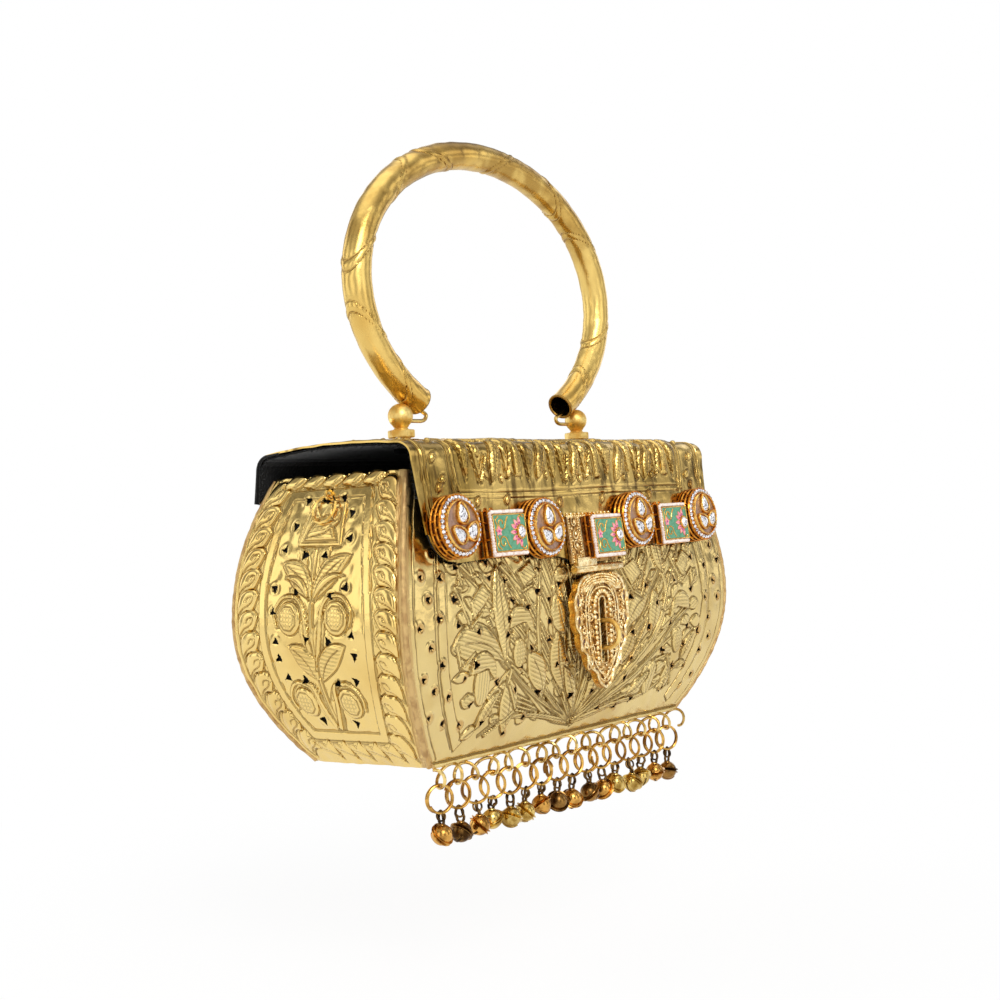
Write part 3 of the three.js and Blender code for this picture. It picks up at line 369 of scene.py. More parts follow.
def turned_by(matrix, points):
    """Points moved by a matrix."""
    return points @ np.array(matrix.to_3x3()).T + np.array(matrix.translation)


def operated(piece, *steps):
    """Run mesh operators, each with its options, on the whole of a piece."""
    choose(piece)
    bpy.ops.object.mode_set(mode="EDIT")
    bpy.ops.mesh.select_all(action="SELECT")
    for step, options in steps:
        step(**options)
    bpy.ops.object.mode_set(mode="OBJECT")
    return piece


def wall(first, second, count):
    """The faces between two closed rings of corners, given the number of each ring's first corner."""
    return [(first + k, first + (k + 1) % count, second + (k + 1) % count, second + k) for k in range(count)]


def mesh_piece(name, points, faces, framed=False):
    """A mesh from points in millimetres on the bag and numbered faces."""
    mesh = bpy.data.meshes.new(name)
    corners = np.asarray(points, float) / 1000 if framed else row(points)
    mesh.from_pydata(corners.tolist(), [], [tuple(int(i) for i in face) for face in faces])
    mesh.update()
    piece = bpy.data.objects.new(name, mesh)
    bpy.context.collection.objects.link(piece)
    return piece


def smoothed(piece, angle=35):
    choose(piece)
    bpy.ops.object.shade_smooth_by_angle(angle=math.radians(angle))
    return piece


def joined(name, pieces):
    choose(*pieces)
    if len(pieces) > 1:
        bpy.ops.object.join()
    pieces[0].name = name
    pieces[0].data.name = name
    return pieces[0]


def dress(piece, body, look=None, nodes=()):
    """Give a finished piece its material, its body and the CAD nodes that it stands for."""
    if look is not None:
        piece.data.materials.clear()
        piece.data.materials.append(look)
    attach(piece, body)
    if nodes:
        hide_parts(*nodes)
    deselect()
    return piece


def place_mesh(piece, matrix):
    """Put a piece's place into its mesh, in millimetres on the bag."""
    move_corners(piece.data, row(turned_by(matrix, corners_of(piece.data))))
    return piece


def tube(name, points, radius, sides=8, closed=False, capped=True):
    """Wire along a line of points, with one radius or one for each point."""
    points = np.asarray(points, float)
    count = len(points)
    radius = np.broadcast_to(np.asarray(radius, float), (count,))
    if closed:
        along = np.roll(points, -1, 0) - np.roll(points, 1, 0)
    else:
        along = np.gradient(points, axis=0)
    along /= np.linalg.norm(along, axis=1)[:, None]
    across = np.cross(along[0], (0.3, 0.9, 0.3))
    angle = 2 * np.pi * np.arange(sides)[:, None] / sides
    cosines, sines = np.cos(angle), np.sin(angle)
    corners = []
    for i in range(count):
        across = across - along[i] * across.dot(along[i])
        across /= np.linalg.norm(across)
        up = np.cross(along[i], across)
        corners.append(points[i] + radius[i] * (cosines * across + sines * up))
    rings = count if closed else count - 1
    faces = []
    for i in range(rings):
        faces += wall(i * sides, ((i + 1) % count) * sides, sides)
    if capped and not closed:
        last = (count - 1) * sides
        faces += [tuple(range(sides))[::-1], tuple(last + k for k in range(sides))]
    return smoothed(mesh_piece(name, np.concatenate(corners), faces))


def spun(name, profile, steps=24, axis="Z"):
    """A turned piece: a profile of radius and height spun round the upright, still in plain millimetres."""
    deselect()
    mesh = bpy.data.meshes.new(name)
    points = [(r, 0, z) for r, z in profile]
    mesh.from_pydata(points, [(i, i + 1) for i in range(len(points) - 1)], [])
    piece = bpy.data.objects.new(name, mesh)
    bpy.context.collection.objects.link(piece)
    operated(piece, (bpy.ops.mesh.spin, {"steps": steps, "angle": 2 * math.pi, "center": (0, 0, 0),
                                         "axis": (0, 0, 1)}),
             (bpy.ops.mesh.remove_doubles, {"threshold": 0.001}),
             (bpy.ops.mesh.select_all, {"action": "SELECT"}), OUTWARDS)
    if axis == "X":
        piece.data.transform(Matrix.Rotation(math.pi / 2, 4, "Y"))
    return piece


OUTWARDS = (bpy.ops.mesh.normals_make_consistent, {"inside": False})


def copied(piece, name):
    twin = piece.copy()
    twin.data = piece.data.copy()
    twin.name = name
    bpy.context.collection.objects.link(twin)
    return twin


def chased_sheet(name, columns, rows, spread, place, draw, holes=(), rim=None):
    """A sheet with relief: a grid laid on its form, pierced, cut to a rim and turned in to its thickness."""
    deselect()
    bpy.ops.mesh.primitive_grid_add(x_subdivisions=columns, y_subdivisions=rows, size=2)
    piece = bpy.context.object
    piece.name = piece.data.name = name
    mesh = piece.data
    grid = corners_of(mesh)
    places = np.stack(spread(grid[:, 0], grid[:, 1]), 1)
    corner_ids = np.empty(len(mesh.polygons) * 4, int)
    mesh.polygons.foreach_get("vertices", corner_ids)
    corner_ids = corner_ids.reshape(-1, 4)
    gone = np.zeros(len(corner_ids), bool)
    for outline in holes:
        low, high = outline.min(0) - 2, outline.max(0) + 2
        here = np.nonzero((places > low).all(1) & (places < high).all(1))[0]
        if not len(here):
            continue
        for corner in outline[::max(1, len(outline) // 3)]:
            closest = here[np.linalg.norm(places[here] - corner, axis=1).argmin()]
            places[closest] = corner
        gap, nearest = distances(places[here], outline)
        snap = np.abs(gap) < 0.28
        places[here[snap]] = nearest[snap]
        centres = places[corner_ids].mean(1)
        beside = np.nonzero((centres > low).all(1) & (centres < high).all(1))[0]
        depth, _ = distances(centres[beside], outline)
        gone[beside[depth < 0]] = True
    if rim is not None:
        gap, nearest = distances(places, rim)
        snap = np.abs(gap) < 0.3
        places[snap] = nearest[snap]
        gap, _ = distances(places[corner_ids].mean(1), rim)
        gone |= gap > 0
    relief = Relief(places)
    draw(relief)
    points, normals = place(places, relief.height)
    relief.store(mesh)
    inward = mesh.attributes.new("inward", "FLOAT_VECTOR", "POINT")
    inward.data.foreach_set("vector", (-normals).ravel())
    move_corners(mesh, row(points))
    choose(piece)
    bpy.ops.object.mode_set(mode="EDIT")
    bpy.ops.mesh.select_all(action="DESELECT")
    bpy.ops.mesh.select_mode(type="FACE")
    bpy.ops.object.mode_set(mode="OBJECT")
    mesh.polygons.foreach_set("select", gone)
    bpy.ops.object.mode_set(mode="EDIT")
    bpy.ops.mesh.delete(type="FACE")
    bpy.ops.mesh.select_mode(type="EDGE")
    bpy.ops.mesh.select_all(action="DESELECT")
    bpy.ops.mesh.select_non_manifold(extend=False, use_wire=False, use_boundary=True, use_multi_face=False,
                                     use_non_contiguous=False, use_verts=False)
    bpy.ops.mesh.extrude_edges_move(TRANSFORM_OT_translate={"value": (0, 0, 0)})
    bpy.ops.object.mode_set(mode="OBJECT")
    mesh = piece.data
    chosen = np.empty(len(mesh.vertices), bool)
    mesh.vertices.foreach_get("select", chosen)
    ways = np.empty(len(mesh.vertices) * 3)
    mesh.attributes["inward"].data.foreach_get("vector", ways)
    corners = corners_of(mesh)
    corners[chosen] += ways.reshape(-1, 3)[chosen] * SHEET / 1000
    mesh.attributes.remove(mesh.attributes["inward"])
    move_corners(mesh, corners)
    return smoothed(piece, 60)


def triangle(centre, size, turn):
    """The outline of a three-cornered hole, its edges divided so that the sheet follows them."""
    angles = [math.radians(turn + i * 120) for i in range(3)]
    corners = [np.array(centre) + size * 0.6 * np.array([math.cos(a), math.sin(a)]) for a in angles]
    return divided(corners, (0, 0.33, 0.67))


# Finishes


class Value:
    """A socket that takes part in sums."""

    def __init__(self, finish, socket):
        self.finish = finish
        self.socket = socket

    def __add__(self, other):
        return self.finish.maths("ADD", self, other)

    def __radd__(self, other):
        return self.finish.maths("ADD", other, self)

    def __sub__(self, other):
        return self.finish.maths("SUBTRACT", self, other)

    def __rsub__(self, other):
        return self.finish.maths("SUBTRACT", other, self)

    def __mul__(self, other):
        return self.finish.maths("MULTIPLY", self, other)

    def __rmul__(self, other):
        return self.finish.maths("MULTIPLY", other, self)

    def __truediv__(self, other):
        return self.finish.maths("DIVIDE", self, other)


class Finish:
    """A material under construction."""

    def __init__(self, name, tree=None):
        if tree is None:
            self.material = bpy.data.materials.new(name)
            self.material.use_nodes = True
            tree = self.material.node_tree
        self.tree = tree
        tree.nodes.clear()

    def node(self, kind, settings=None, inputs=None, output=0):
        made = self.tree.nodes.new(kind)
        for key, value in (settings or {}).items():
            setattr(made, key, value)
        for key, value in (inputs or {}).items():
            if isinstance(value, Value):
                self.tree.links.new(value.socket, made.inputs[key])
            else:
                made.inputs[key].default_value = value
        return Value(self, made.outputs[output]) if len(made.outputs) else None

    def places(self):
        return self.node("ShaderNodeTexCoord", output="Object")

    def noise(self, scale, detail=2.0, roughness=0.5, stretch=None):
        """Unevenness with about scale waves in a metre."""
        places = self.places()
        if stretch:
            places = self.node("ShaderNodeMapping", inputs={"Vector": places, "Scale": stretch})
        return self.node("ShaderNodeTexNoise", inputs={"Vector": places, "Scale": scale, "Detail": detail,
                                                       "Roughness": roughness}, output="Fac")

    def step(self, value, low, high):
        """0 at low and 1 at high, smooth between; low may be the greater."""
        return self.node("ShaderNodeMapRange", {"interpolation_type": "SMOOTHSTEP"},
                         {"Value": value, "From Min": low, "From Max": high, "To Min": 0.0, "To Max": 1.0})

    def attribute(self, name):
        return self.node("ShaderNodeAttribute", {"attribute_name": name}, output="Fac")

    def mix(self, first, second, share):
        return self.node("ShaderNodeMix", {"data_type": "RGBA"}, {0: share, 6: first, 7: second}, output=2)

    def maths(self, operation, *values):
        return self.node("ShaderNodeMath", {"operation": operation}, dict(enumerate(values)))

    def bump(self, height, depth, strength=1.0):
        return self.node("ShaderNodeBump", inputs={"Height": height, "Distance": depth, "Strength": strength})

    def done(self, **sockets):
        shader = self.node("ShaderNodeBsdfPrincipled", inputs={key.replace("_", " "): value
                                                               for key, value in sockets.items()})
        self.node("ShaderNodeOutputMaterial", inputs={"Surface": shader})
        return self.material


def linear(colour):
    """A colour as a screen shows it to the shader's own scale."""
    scaled = [c / 12.92 if c <= 0.04045 else ((c + 0.055) / 1.055) ** 2.4 for c in colour[:3]]
    return (*scaled, 1.0)


def brass_sheet(name, light, deep, soil, roughness=0.2, soiling=0.5, streaks=0.0, worn_above=None):
    """Chased sheet: polished high places, lines and hatching browned partly by tarnish and partly as painted
    shade, painted shade in the valleys beside raised shapes, stained hole edges, old dents, sanded edges,
    darker patches above a given height and, where asked, painted reflection streaks.
    """
    look = Finish(name)
    edge = look.maths("ABSOLUTE", look.attribute("edge"))
    line = look.step(edge, 0.42, 0.08)
    valley_shade = look.step(edge, 1.5, 0.2)
    along, across = look.attribute("hatch_along"), look.attribute("hatch_across")
    cuts = look.step(look.maths("SINE", along * (2 * math.pi / HATCH_PITCH)), 0.2, 0.95)
    cross_cuts = look.step(look.maths("SINE", across * (2 * math.pi / HATCH_PITCH)), 0.2, 0.95)
    both = cuts + cross_cuts * look.attribute("crossing")
    hatch = look.step(both, 0.0, 1.0) * look.attribute("hatching")
    cloud = look.noise(42, 3)
    broad = look.noise(14, 2)
    grain = look.noise(1500, 2, 0.6)
    dents = look.noise(170, 2, 0.45)
    stain = look.step(look.attribute("stain") * (0.45 + look.noise(120, 2)), 0.45, 1.0)
    sanded = look.attribute("sanded") * look.step(look.noise(420, 3, 0.7), 0.25, 0.5)
    tone = look.mix(deep, light, look.step(cloud * 0.6 + broad * 0.4, 0.3, 0.6))
    # Painted reflection: dark stretched streaks stand in for the dark surroundings that the lid mirrors
    if streaks:
        reflection_streak = look.noise(95, 3, 0.6, stretch=(2.2, 1.0, 0.45))
        tone = look.mix(tone, linear((0.34, 0.23, 0.08)), look.step(reflection_streak, 0.52, 0.7) * streaks)
    # Darker brown patches towards the top, above the given height
    if worn_above is not None:
        height = look.node("ShaderNodeSeparateXYZ", inputs={0: look.places()}, output="Z")
        darker_patches = look.step(height + 0.03 * look.noise(30, 2), worn_above, worn_above + 0.05)
        tone = look.mix(tone, linear((0.68, 0.53, 0.26)),
                        darker_patches * look.step(look.noise(90, 3), 0.3, 0.65) * 0.9)
    tone = look.mix(tone, linear((0.70, 0.44, 0.16)), stain * 0.45)
    # Painted shade: the valleys beside raised shapes are darkened in patches, like ambient occlusion
    tone = look.mix(tone, soil, look.step(valley_shade * look.noise(260, 3), 0.25, 0.8) * 0.22)
    # Hatching and chased lines browned: partly tarnish in the grooves, partly painted shade
    tone = look.mix(tone, soil, hatch * 0.22)
    tone = look.mix(tone, soil, line * soiling)
    tone = look.mix(tone, linear((0.82, 0.69, 0.46)), sanded)
    height = dents * 0.62 - line * 0.75 - hatch * 0.6 + grain * (0.05 + 0.35 * sanded)
    return look.done(Base_Color=tone, Metallic=1.0,
                     Roughness=roughness + 0.1 * look.step(cloud, 0.35, 0.75) + 0.18 * line + 0.3 * sanded,
                     Normal=look.bump(height, 0.0004, 1.0))


def plain_brass(name, light, deep, roughness=0.25, patches=60.0, dents=300.0, depth=0.00012):
    """Worn brass without chasing: clouds of tone, small dents and a fine grain."""
    look = Finish(name)
    cloud = look.noise(patches, 3)
    tone = look.mix(deep, light, look.step(cloud, 0.34, 0.62))
    height = look.noise(dents, 2) * 0.8 + look.noise(1800, 2, 0.6) * 0.12
    return look.done(Base_Color=tone, Metallic=1.0, Roughness=roughness + 0.18 * look.step(cloud, 0.62, 0.3),
                     Normal=look.bump(height, depth, 0.8))


def velvet(name, colour):
    look = Finish(name)
    nap = look.noise(900, 3, 0.7)
    tone = look.mix(colour, linear((0.035, 0.034, 0.036)), look.step(nap, 0.45, 0.8))
    return look.done(Base_Color=tone, Roughness=0.95, Normal=look.bump(nap, 0.0006, 0.9), Sheen_Weight=0.25,
                     Sheen_Roughness=0.5, Specular_IOR_Level=0.15)


def enamel(name, colour, other):
    look = Finish(name)
    cloud = look.noise(700, 3)
    tone = look.mix(colour, other, look.step(cloud, 0.35, 0.7))
    return look.done(Base_Color=tone, Roughness=0.16 + 0.12 * look.noise(300), Coat_Weight=0.6,
                     Normal=look.bump(look.noise(500, 2), 0.00008, 0.6))


def stone(name):
    look = Finish(name)
    cloud = look.noise(1300, 1)
    tone = look.mix(linear((0.95, 0.95, 0.97)), linear((0.42, 0.40, 0.42)), look.step(cloud, 0.5, 0.66))
    return look.done(Base_Color=tone, Metallic=0.6, Roughness=0.04 + 0.05 * look.noise(900), Coat_Weight=1.0,
                     Normal=look.bump(cloud, 0.00008, 0.7))


def pearl(name):
    look = Finish(name)
    tone = look.mix(linear((0.95, 0.90, 0.87)), linear((0.86, 0.76, 0.70)),
                    look.step(look.noise(500), 0.4, 0.7))
    return look.done(Base_Color=tone, Roughness=0.28 + 0.1 * look.noise(900), Coat_Weight=0.4,
                     Sheen_Weight=0.1, Normal=look.bump(look.noise(1500), 0.00005, 0.5))


# Brown for chased lines, hatching and valleys: partly tarnish in the grooves, partly painted shade
CREASE_TARNISH_AND_SHADE = (0.40, 0.27, 0.10)

# For each finish its maker, its colours (or the setting that holds one) and the maker's further numbers
FINISHES = {
    "end_sheet": (brass_sheet, ("pale_brass", (0.86, 0.72, 0.42), CREASE_TARNISH_AND_SHADE), 0.14, 0.45),
    "fan_sheet": (brass_sheet, ("fan_brass", (0.80, 0.68, 0.42), CREASE_TARNISH_AND_SHADE), 0.16, 0.58),
    # The lid's brass is darker than the other panels' and gets painted reflection streaks: partly its own
    # tone, partly painted reflection of dark surroundings
    "lid_sheet": (brass_sheet, ("olive_brass", (0.66, 0.54, 0.27), CREASE_TARNISH_AND_SHADE), 0.15, 0.5, 0.75),
    "handle_brass": (brass_sheet, ((0.94, 0.81, 0.48), (0.82, 0.65, 0.32), (0.52, 0.36, 0.14)), 0.24, 0.6,
                     0.0, -0.045),
    "solder": (plain_brass, ((0.84, 0.71, 0.48), (0.74, 0.60, 0.40)), 0.45, 260, 900, 0.0003),
    "wire": (plain_brass, ((0.96, 0.84, 0.54), (0.72, 0.56, 0.28)), 0.18, 140),
    "link_wire": (plain_brass, ((0.88, 0.69, 0.35), (0.52, 0.35, 0.14)), 0.18, 160),
    "polished": (plain_brass, ((0.96, 0.82, 0.48), (0.84, 0.66, 0.32)), 0.18, 120),
    "post_brass": (plain_brass, ((0.98, 0.86, 0.54), (0.86, 0.68, 0.34)), 0.38, 160),
    "orange_gold": (plain_brass, ("amber_brass", (0.66, 0.38, 0.10)), 0.24, 400, 700),
    "bezel_gold": (plain_brass, ((0.93, 0.76, 0.42), (0.82, 0.58, 0.25)), 0.2, 500, 900),
    # Dark sheet seen through the jewels' and shield's windows: painted shade
    "window_dark": (enamel, ((0.36, 0.13, 0.05), (0.20, 0.06, 0.03))),
    "filigree": (plain_brass, ((1.0, 0.92, 0.72), (0.88, 0.72, 0.44)), 0.2, 500, 900, 0.0002),
    "filigree_ground": (plain_brass, ((0.84, 0.68, 0.42), (0.46, 0.30, 0.13)), 0.34, 600, 1200, 0.0004),
    "bell_pale": (plain_brass, ((0.88, 0.76, 0.45), (0.60, 0.46, 0.20)), 0.16, 180),
    "bell_amber": (plain_brass, ((0.86, 0.65, 0.33), (0.54, 0.37, 0.16)), 0.14, 180),
    "bell_dark": (plain_brass, ((0.62, 0.46, 0.24), (0.26, 0.17, 0.08)), 0.2, 180),
    # Dark brass for the bells' eye loops; also painted shade inside the handle's mouths and the bells' slits
    "loop_dark": (plain_brass, ((0.50, 0.38, 0.22), (0.22, 0.16, 0.10)), 0.34, 300),
    "velvet": (velvet, ((0.012, 0.012, 0.013),)),
    "green_enamel": (enamel, ("enamel_green", (0.24, 0.52, 0.37))),
    "pink_enamel": (enamel, ((0.96, 0.66, 0.66), (0.90, 0.46, 0.56))),
    "magenta": (enamel, ((0.78, 0.22, 0.55), (0.66, 0.16, 0.50))),
    "recess": (enamel, ((0.60, 0.46, 0.38), (0.50, 0.37, 0.30))),
    "stone": (stone, ()),
    "pearl": (pearl, ()),
}
finishes = {}


def finish(name):
    """One of the bag's finishes, made when it is first asked for."""
    if name not in finishes:
        maker, colours, *numbers = FINISHES[name]
        bag = bpy.context.scene.clutch_bag
        shades = [linear(getattr(bag, colour) if isinstance(colour, str) else colour) for colour in colours]
        finishes[name] = maker(name, *shades, *numbers)
    return finishes[name]


# The box


def panel_spread(reach):
    """Grid shares to places on a panel that reaches so far at a level."""
    def spread(s, t):
        level = (t + 1) * 0.5 * BODY_HEIGHT
        return s * (reach(level) - 0.25), level
    return spread


END_HOLES = ((-11.8, 111.7), (-2.1, 112.1), (8.4, 112.1), (14.9, 105.7), (-15.3, 101.4), (16.7, 95.6),
             (-19.1, 92.1), (-6.8, 89.4), (4.7, 89.1), (-22.9, 76.2), (-11.0, 74.6), (9.3, 72.9),
             (17.3, 76.0), (-23.6, 66.7), (-23.1, 54.3), (-4.7, 55.3), (6.8, 54.4), (20.1, 56.8),
             (-22.7, 47.1), (20.3, 48.5), (-19.8, 39.2), (-10.2, 38.4), (8.2, 37.3), (17.7, 38.0),
             (-9.4, 20.7), (8.6, 19.9))


def border_comma(relief, root, tip, width, bend):
    """One hooked leaf of the scroll border, with the line that curls into its head."""
    root, tip = np.array(root), np.array(tip)
    relief.raise_shape(leaf_outline(root, tip, width, bend, 1.7, 24), 1.5, shoulder=width * 0.5, crease=0.5)
    along = tip - root
    across = square_to(along) * (1 if bend > 0 else -1)
    hook = [root + along * 0.12 + across * 1.6, root + along * 0.4 + across * 1.6,
            root + along * 0.68 + across * 0.2, root + along * 0.84 + across * 1.4,
            root + along * 0.72 + across * 3.0, root + along * 0.58 + across * 2.6]
    relief.chase(hook, 0.5)


def flower_head(relief, x, z, size, side):
    """A round flower with a latticed heart, under a hood that hangs from the stem."""
    relief.raise_shape(round_outline((x, z), size, size * 1.08, 26), 1.3, 2.6, crease=0.4)
    lattice = round_outline((x + side * 0.3, z), size * 0.74, size * 0.8, 8, 0.3)
    relief.raise_shape(lattice, 0.3, 0.8, hatch=84, cross=True, crease=0.3)
    arc = [(x - side * (size + 2.6), z + size * 0.2), (x - side * size * 0.7, z + size + 1.4),
           (x + side * size * 0.5, z + size + 2.0), (x + side * (size + 1.6), z + size * 0.4),
           (x + side * (size + 0.6), z - size * 0.6)]
    relief.stem(arc, 2.3, 1.0, 0.6)


def draw_end(relief):
    """Scroll border, flat rails, and a plant of hatched leaves and latticed flowers under a framed bud."""
    levels = np.linspace(13.5, 114.4, 26)
    rail = np.concatenate([np.stack([-(half_depth(levels) - 18.6), levels], 1),
                           np.stack([half_depth(levels) - 19.4, levels], 1)[::-1]])
    here = relief.near(rail, 6)
    relief.height += 0.3 * waves(relief.places, (9.5, 6.5), 14)
    for side in (-1, 1):
        for i in range(13):
            level = 8.0 + i * 8.7
            reach = float(half_depth(level))
            inner, outer = side * (reach - 16.4), side * (float(half_depth(level - 7)) - 4.2)
            border_comma(relief, (outer, level - 6.2), (inner, level + 4.6), 10.2, -3.2 * side)
    for i in range(5):
        x = -19.5 + i * 8.8
        border_comma(relief, (x + 6.6, 1.6), (x - 3.4, 10.6), 8.2, -2.4)
    for i in range(5):
        x = -22.5 + i * 11.2
        relief.raise_shape(leaf_outline((x - 6.6, 117.4), (x + 6.0, 120.8), 6.6, 0.8, 1.2), 1.8, 2.6,
                           crease=0.6)
        relief.chase([(x - 4.2, 116.8), (x + 0.6, 117.6), (x + 4.6, 120.2)], 0.4)
    gap, _ = distances(relief.places[here], rail)
    band = np.abs(gap) - 2.0
    flat = band < 0
    relief.height[here] = np.where(flat, 0.45 + 0.04 * relief.height[here],
                                   relief.height[here] - 0.35 * np.exp(-(band / 0.5) ** 2))
    relief.edge[here] = np.where(flat, band, np.where(band < np.abs(relief.edge[here]), np.abs(band),
                                                      relief.edge[here]))
    levels = np.linspace(2.2, 120.5, 26)
    for side in (-1, 1):
        relief.chase(np.stack([side * (half_depth(levels) - 3.6), levels], 1), 0.35, 60)
        relief.leaf((side * 2 - 2, 16), (side * 8.4 - 2, 38), 5.5, 1.4 * side, rise=0.8, vein=False)
        relief.leaf((side * 2 - 2, 44), (side * 9 - 2, 66), 6.5, 2.4 * side, rise=0.8, vein=False)
        relief.leaf((side * 4 - 2, 84), (side * 9 - 2, 93), 5.0, 0.6 * side, rise=0.6, vein=False)
    relief.stem([(-2.0, 16.5), (-2.2, 45), (-1.8, 70), (-1.4, 92)], 2.6, 1.0, 0.8)
    relief.chase([(-2.0, 20), (-2.2, 45), (-1.8, 70), (-1.4, 92)], 0.3)
    for side, lift in ((-1, 0), (1, 0.6)):
        flower_head(relief, side * 13.2 - 1.2, 63.8, 6.6, side)
        flower_head(relief, side * 12.2 - 1.8, 28.6, 6.0, side)
        relief.stem([(-2 + side * 0.6, 17), (side * 4.0 - 1, 27), (side * 6.0 - 1, 35.4),
                     (side * 10 - 1, 38.2)], 2.6, 1.0)
        relief.stem([(-2 + side * 0.8, 42), (side * 3.4 - 1, 56), (side * 5.6 - 1, 68),
                     (side * 10 - 1, 73.2)], 2.8, 1.0)
        relief.leaf((-1.5 + side * 0.6, 70.5), (-0.6 + side * 19.6, 86.5 + 4 * lift), 10.5, 3.0 * side,
                    hatch=80)
        relief.leaf((-1.5 + side * 1.4, 70.6), (-0.4 + side * 16.6, 80.2 + lift), 3.4, 3.6 * side, rise=0.8,
                    vein=False)
        relief.leaf((-1.6 + side * 1.2, 37.5), (side * 16.2, 52.6), 9.8, 2.6 * side, hatch=80)
    bud_frame = np.array([(-12.6, 93.2), (12.4, 92.6), (10.2, 110.6), (-8.4, 111.4)])
    relief.raise_shape(bud_frame, 0.4, 0.8, crease=0.35)
    relief.raise_shape(np.array([(-9.4, 95.2), (9.2, 94.9), (4.6, 103.8), (3.0, 110.5), (-1.2, 104.2),
                                 (-5.4, 109.8), (-7.0, 101.0)]), 0.9, 1.8, hatch=84)
    relief.raise_shape(leaf_outline((-8.6, 96), (8.6, 103), 7.0, 1.6, 1.2), 0.9, 1.6, hatch=96)
    relief.chase([(-10.6, 94.6), (10.4, 94.2)], 0.2)
    relief.raise_shape(round_outline((6.4, 105.6), 2.4, 2.8, 12), 0.7, 1.2, hatch=40, cross=True)
    for hole in END_HOLES:
        relief.punch(hole, 2.3, 0.34, stained=False)
    relief.height += 0.3 * waves(relief.places, (60, 34), 4)
    reach = half_depth(relief.places[:, 1]) - relief.places[:, 0]
    relief.sanded = np.clip((4.4 - reach) / 0.8, 0, 1)
    back_reach = half_depth(relief.places[:, 1]) + relief.places[:, 0]
    relief.height -= 0.6 * np.exp(-(np.minimum(reach, back_reach) / 1.4) ** 2)


MARGIN_HOLES = ((-105.2, 87.6), (-113.6, 78.7), (-102.1, 77.7), (-110.6, 69.7), (-104.9, 61.7),
                (-116.9, 58.7), (-110.5, 50.5), (-103.0, 43.2), (-113.4, 38.2), (-106.1, 32.8),
                (-96.6, 29.6), (-106.4, 22.1), (-96.8, 18.7), (-85.4, 16.6), (-106, 98), (-99.5, 106),
                (-92, 113))
RIGHT_MARGIN_HOLES = ((111.4, 80.9), (116.9, 73.3), (102.8, 71.4), (111.1, 63.2), (102.1, 55.5),
                      (114.9, 54.6), (106.2, 45.3), (96.8, 39.3), (108.2, 35.2), (100.5, 29.1),
                      (98.6, 17.1), (90.1, 12.7), (107.5, 92), (100.5, 100), (94, 112))
FIELD_HOLES = ((-92.4, 81.5), (-71.7, 82.2), (-70.2, 75.7), (-60.1, 74.0), (-35.8, 77.4), (-38.0, 68.1),
               (-94.5, 68.5), (-92.7, 58.1), (-80.9, 54.4), (-55.8, 65.1), (-45.4, 61.6), (-60.1, 57.9),
               (-61.1, 51.6), (-43.1, 43.9), (-82.3, 41.2), (-87.7, 35.8), (-64.8, 32.1), (-52.1, 27.7),
               (-34.4, 24.1), (-49.4, 37.2), (-29.8, 46.7), (-29.7, 63.9), (-81.6, 24.6), (-71.5, 15.8),
               (-41.6, 14.4), (-52.2, 8.6), (-23.8, 35.3), (-30.0, 54.6), (-21.7, 69.8), (35.0, 60.4),
               (35.7, 44.0), (27.0, 42.0), (37.2, 31.1), (34.3, 22.8), (45.2, 11.4), (32.9, 9.4),
               (18.3, 11.2), (64.9, 32.6), (77.2, 23.9), (72.0, 13.3), (69.3, 45.4), (50.8, 44.8),
               (48.7, 65.1), (89.2, 60.2), (86.7, 42.4), (83.6, 33.7), (88.4, 22.7), (-9.7, 20.3),
               (-15.9, 36.1), (7.2, 20.0), (74, 66), (92, 76), (56, 56))


def field_rail(side):
    """The line between the margin strip and the field of a fan panel."""
    levels = np.linspace(6.5, 120, 26)
    return np.stack([side * (half_width(levels) - 24.5 + 4.5 * (1 - levels / 122)), levels], 1)


def fan_fill(relief, foot):
    """Small leaves and buds that cover the ground between the large ones, all turned away from the foot."""
    dice = np.random.default_rng(31)
    for reach in np.arange(20, 132, 8.6):
        count = max(5, int(reach * 2.9 / 9.2))
        for number in range(count):
            angle = -1.5 + 3.0 * (number + dice.uniform(0.2, 0.8)) / count
            root = foot + reach * np.array([math.sin(angle), math.cos(angle)])
            if not 3 < root[1] < 116 or abs(root[0]) > float(half_width(root[1])) - 33:
                continue
            lean = angle + dice.uniform(-0.6, 0.6)
            tip = root + dice.uniform(8, 12) * np.array([math.sin(lean), math.cos(lean)])
            hatch = dice.uniform(40, 140) if number % 2 else None
            relief.leaf(root, tip, dice.uniform(4.6, 7.2), dice.uniform(-1.5, 1.5), hatch=hatch,
                        belly=dice.uniform(0.8, 1.5), rise=dice.uniform(0.6, 1.1), vein=number % 3 == 0)
            if number % 3 == 1:
                relief.stem([foot + (root - foot) * 0.45, root], 1.4, 0.5, 1.0)


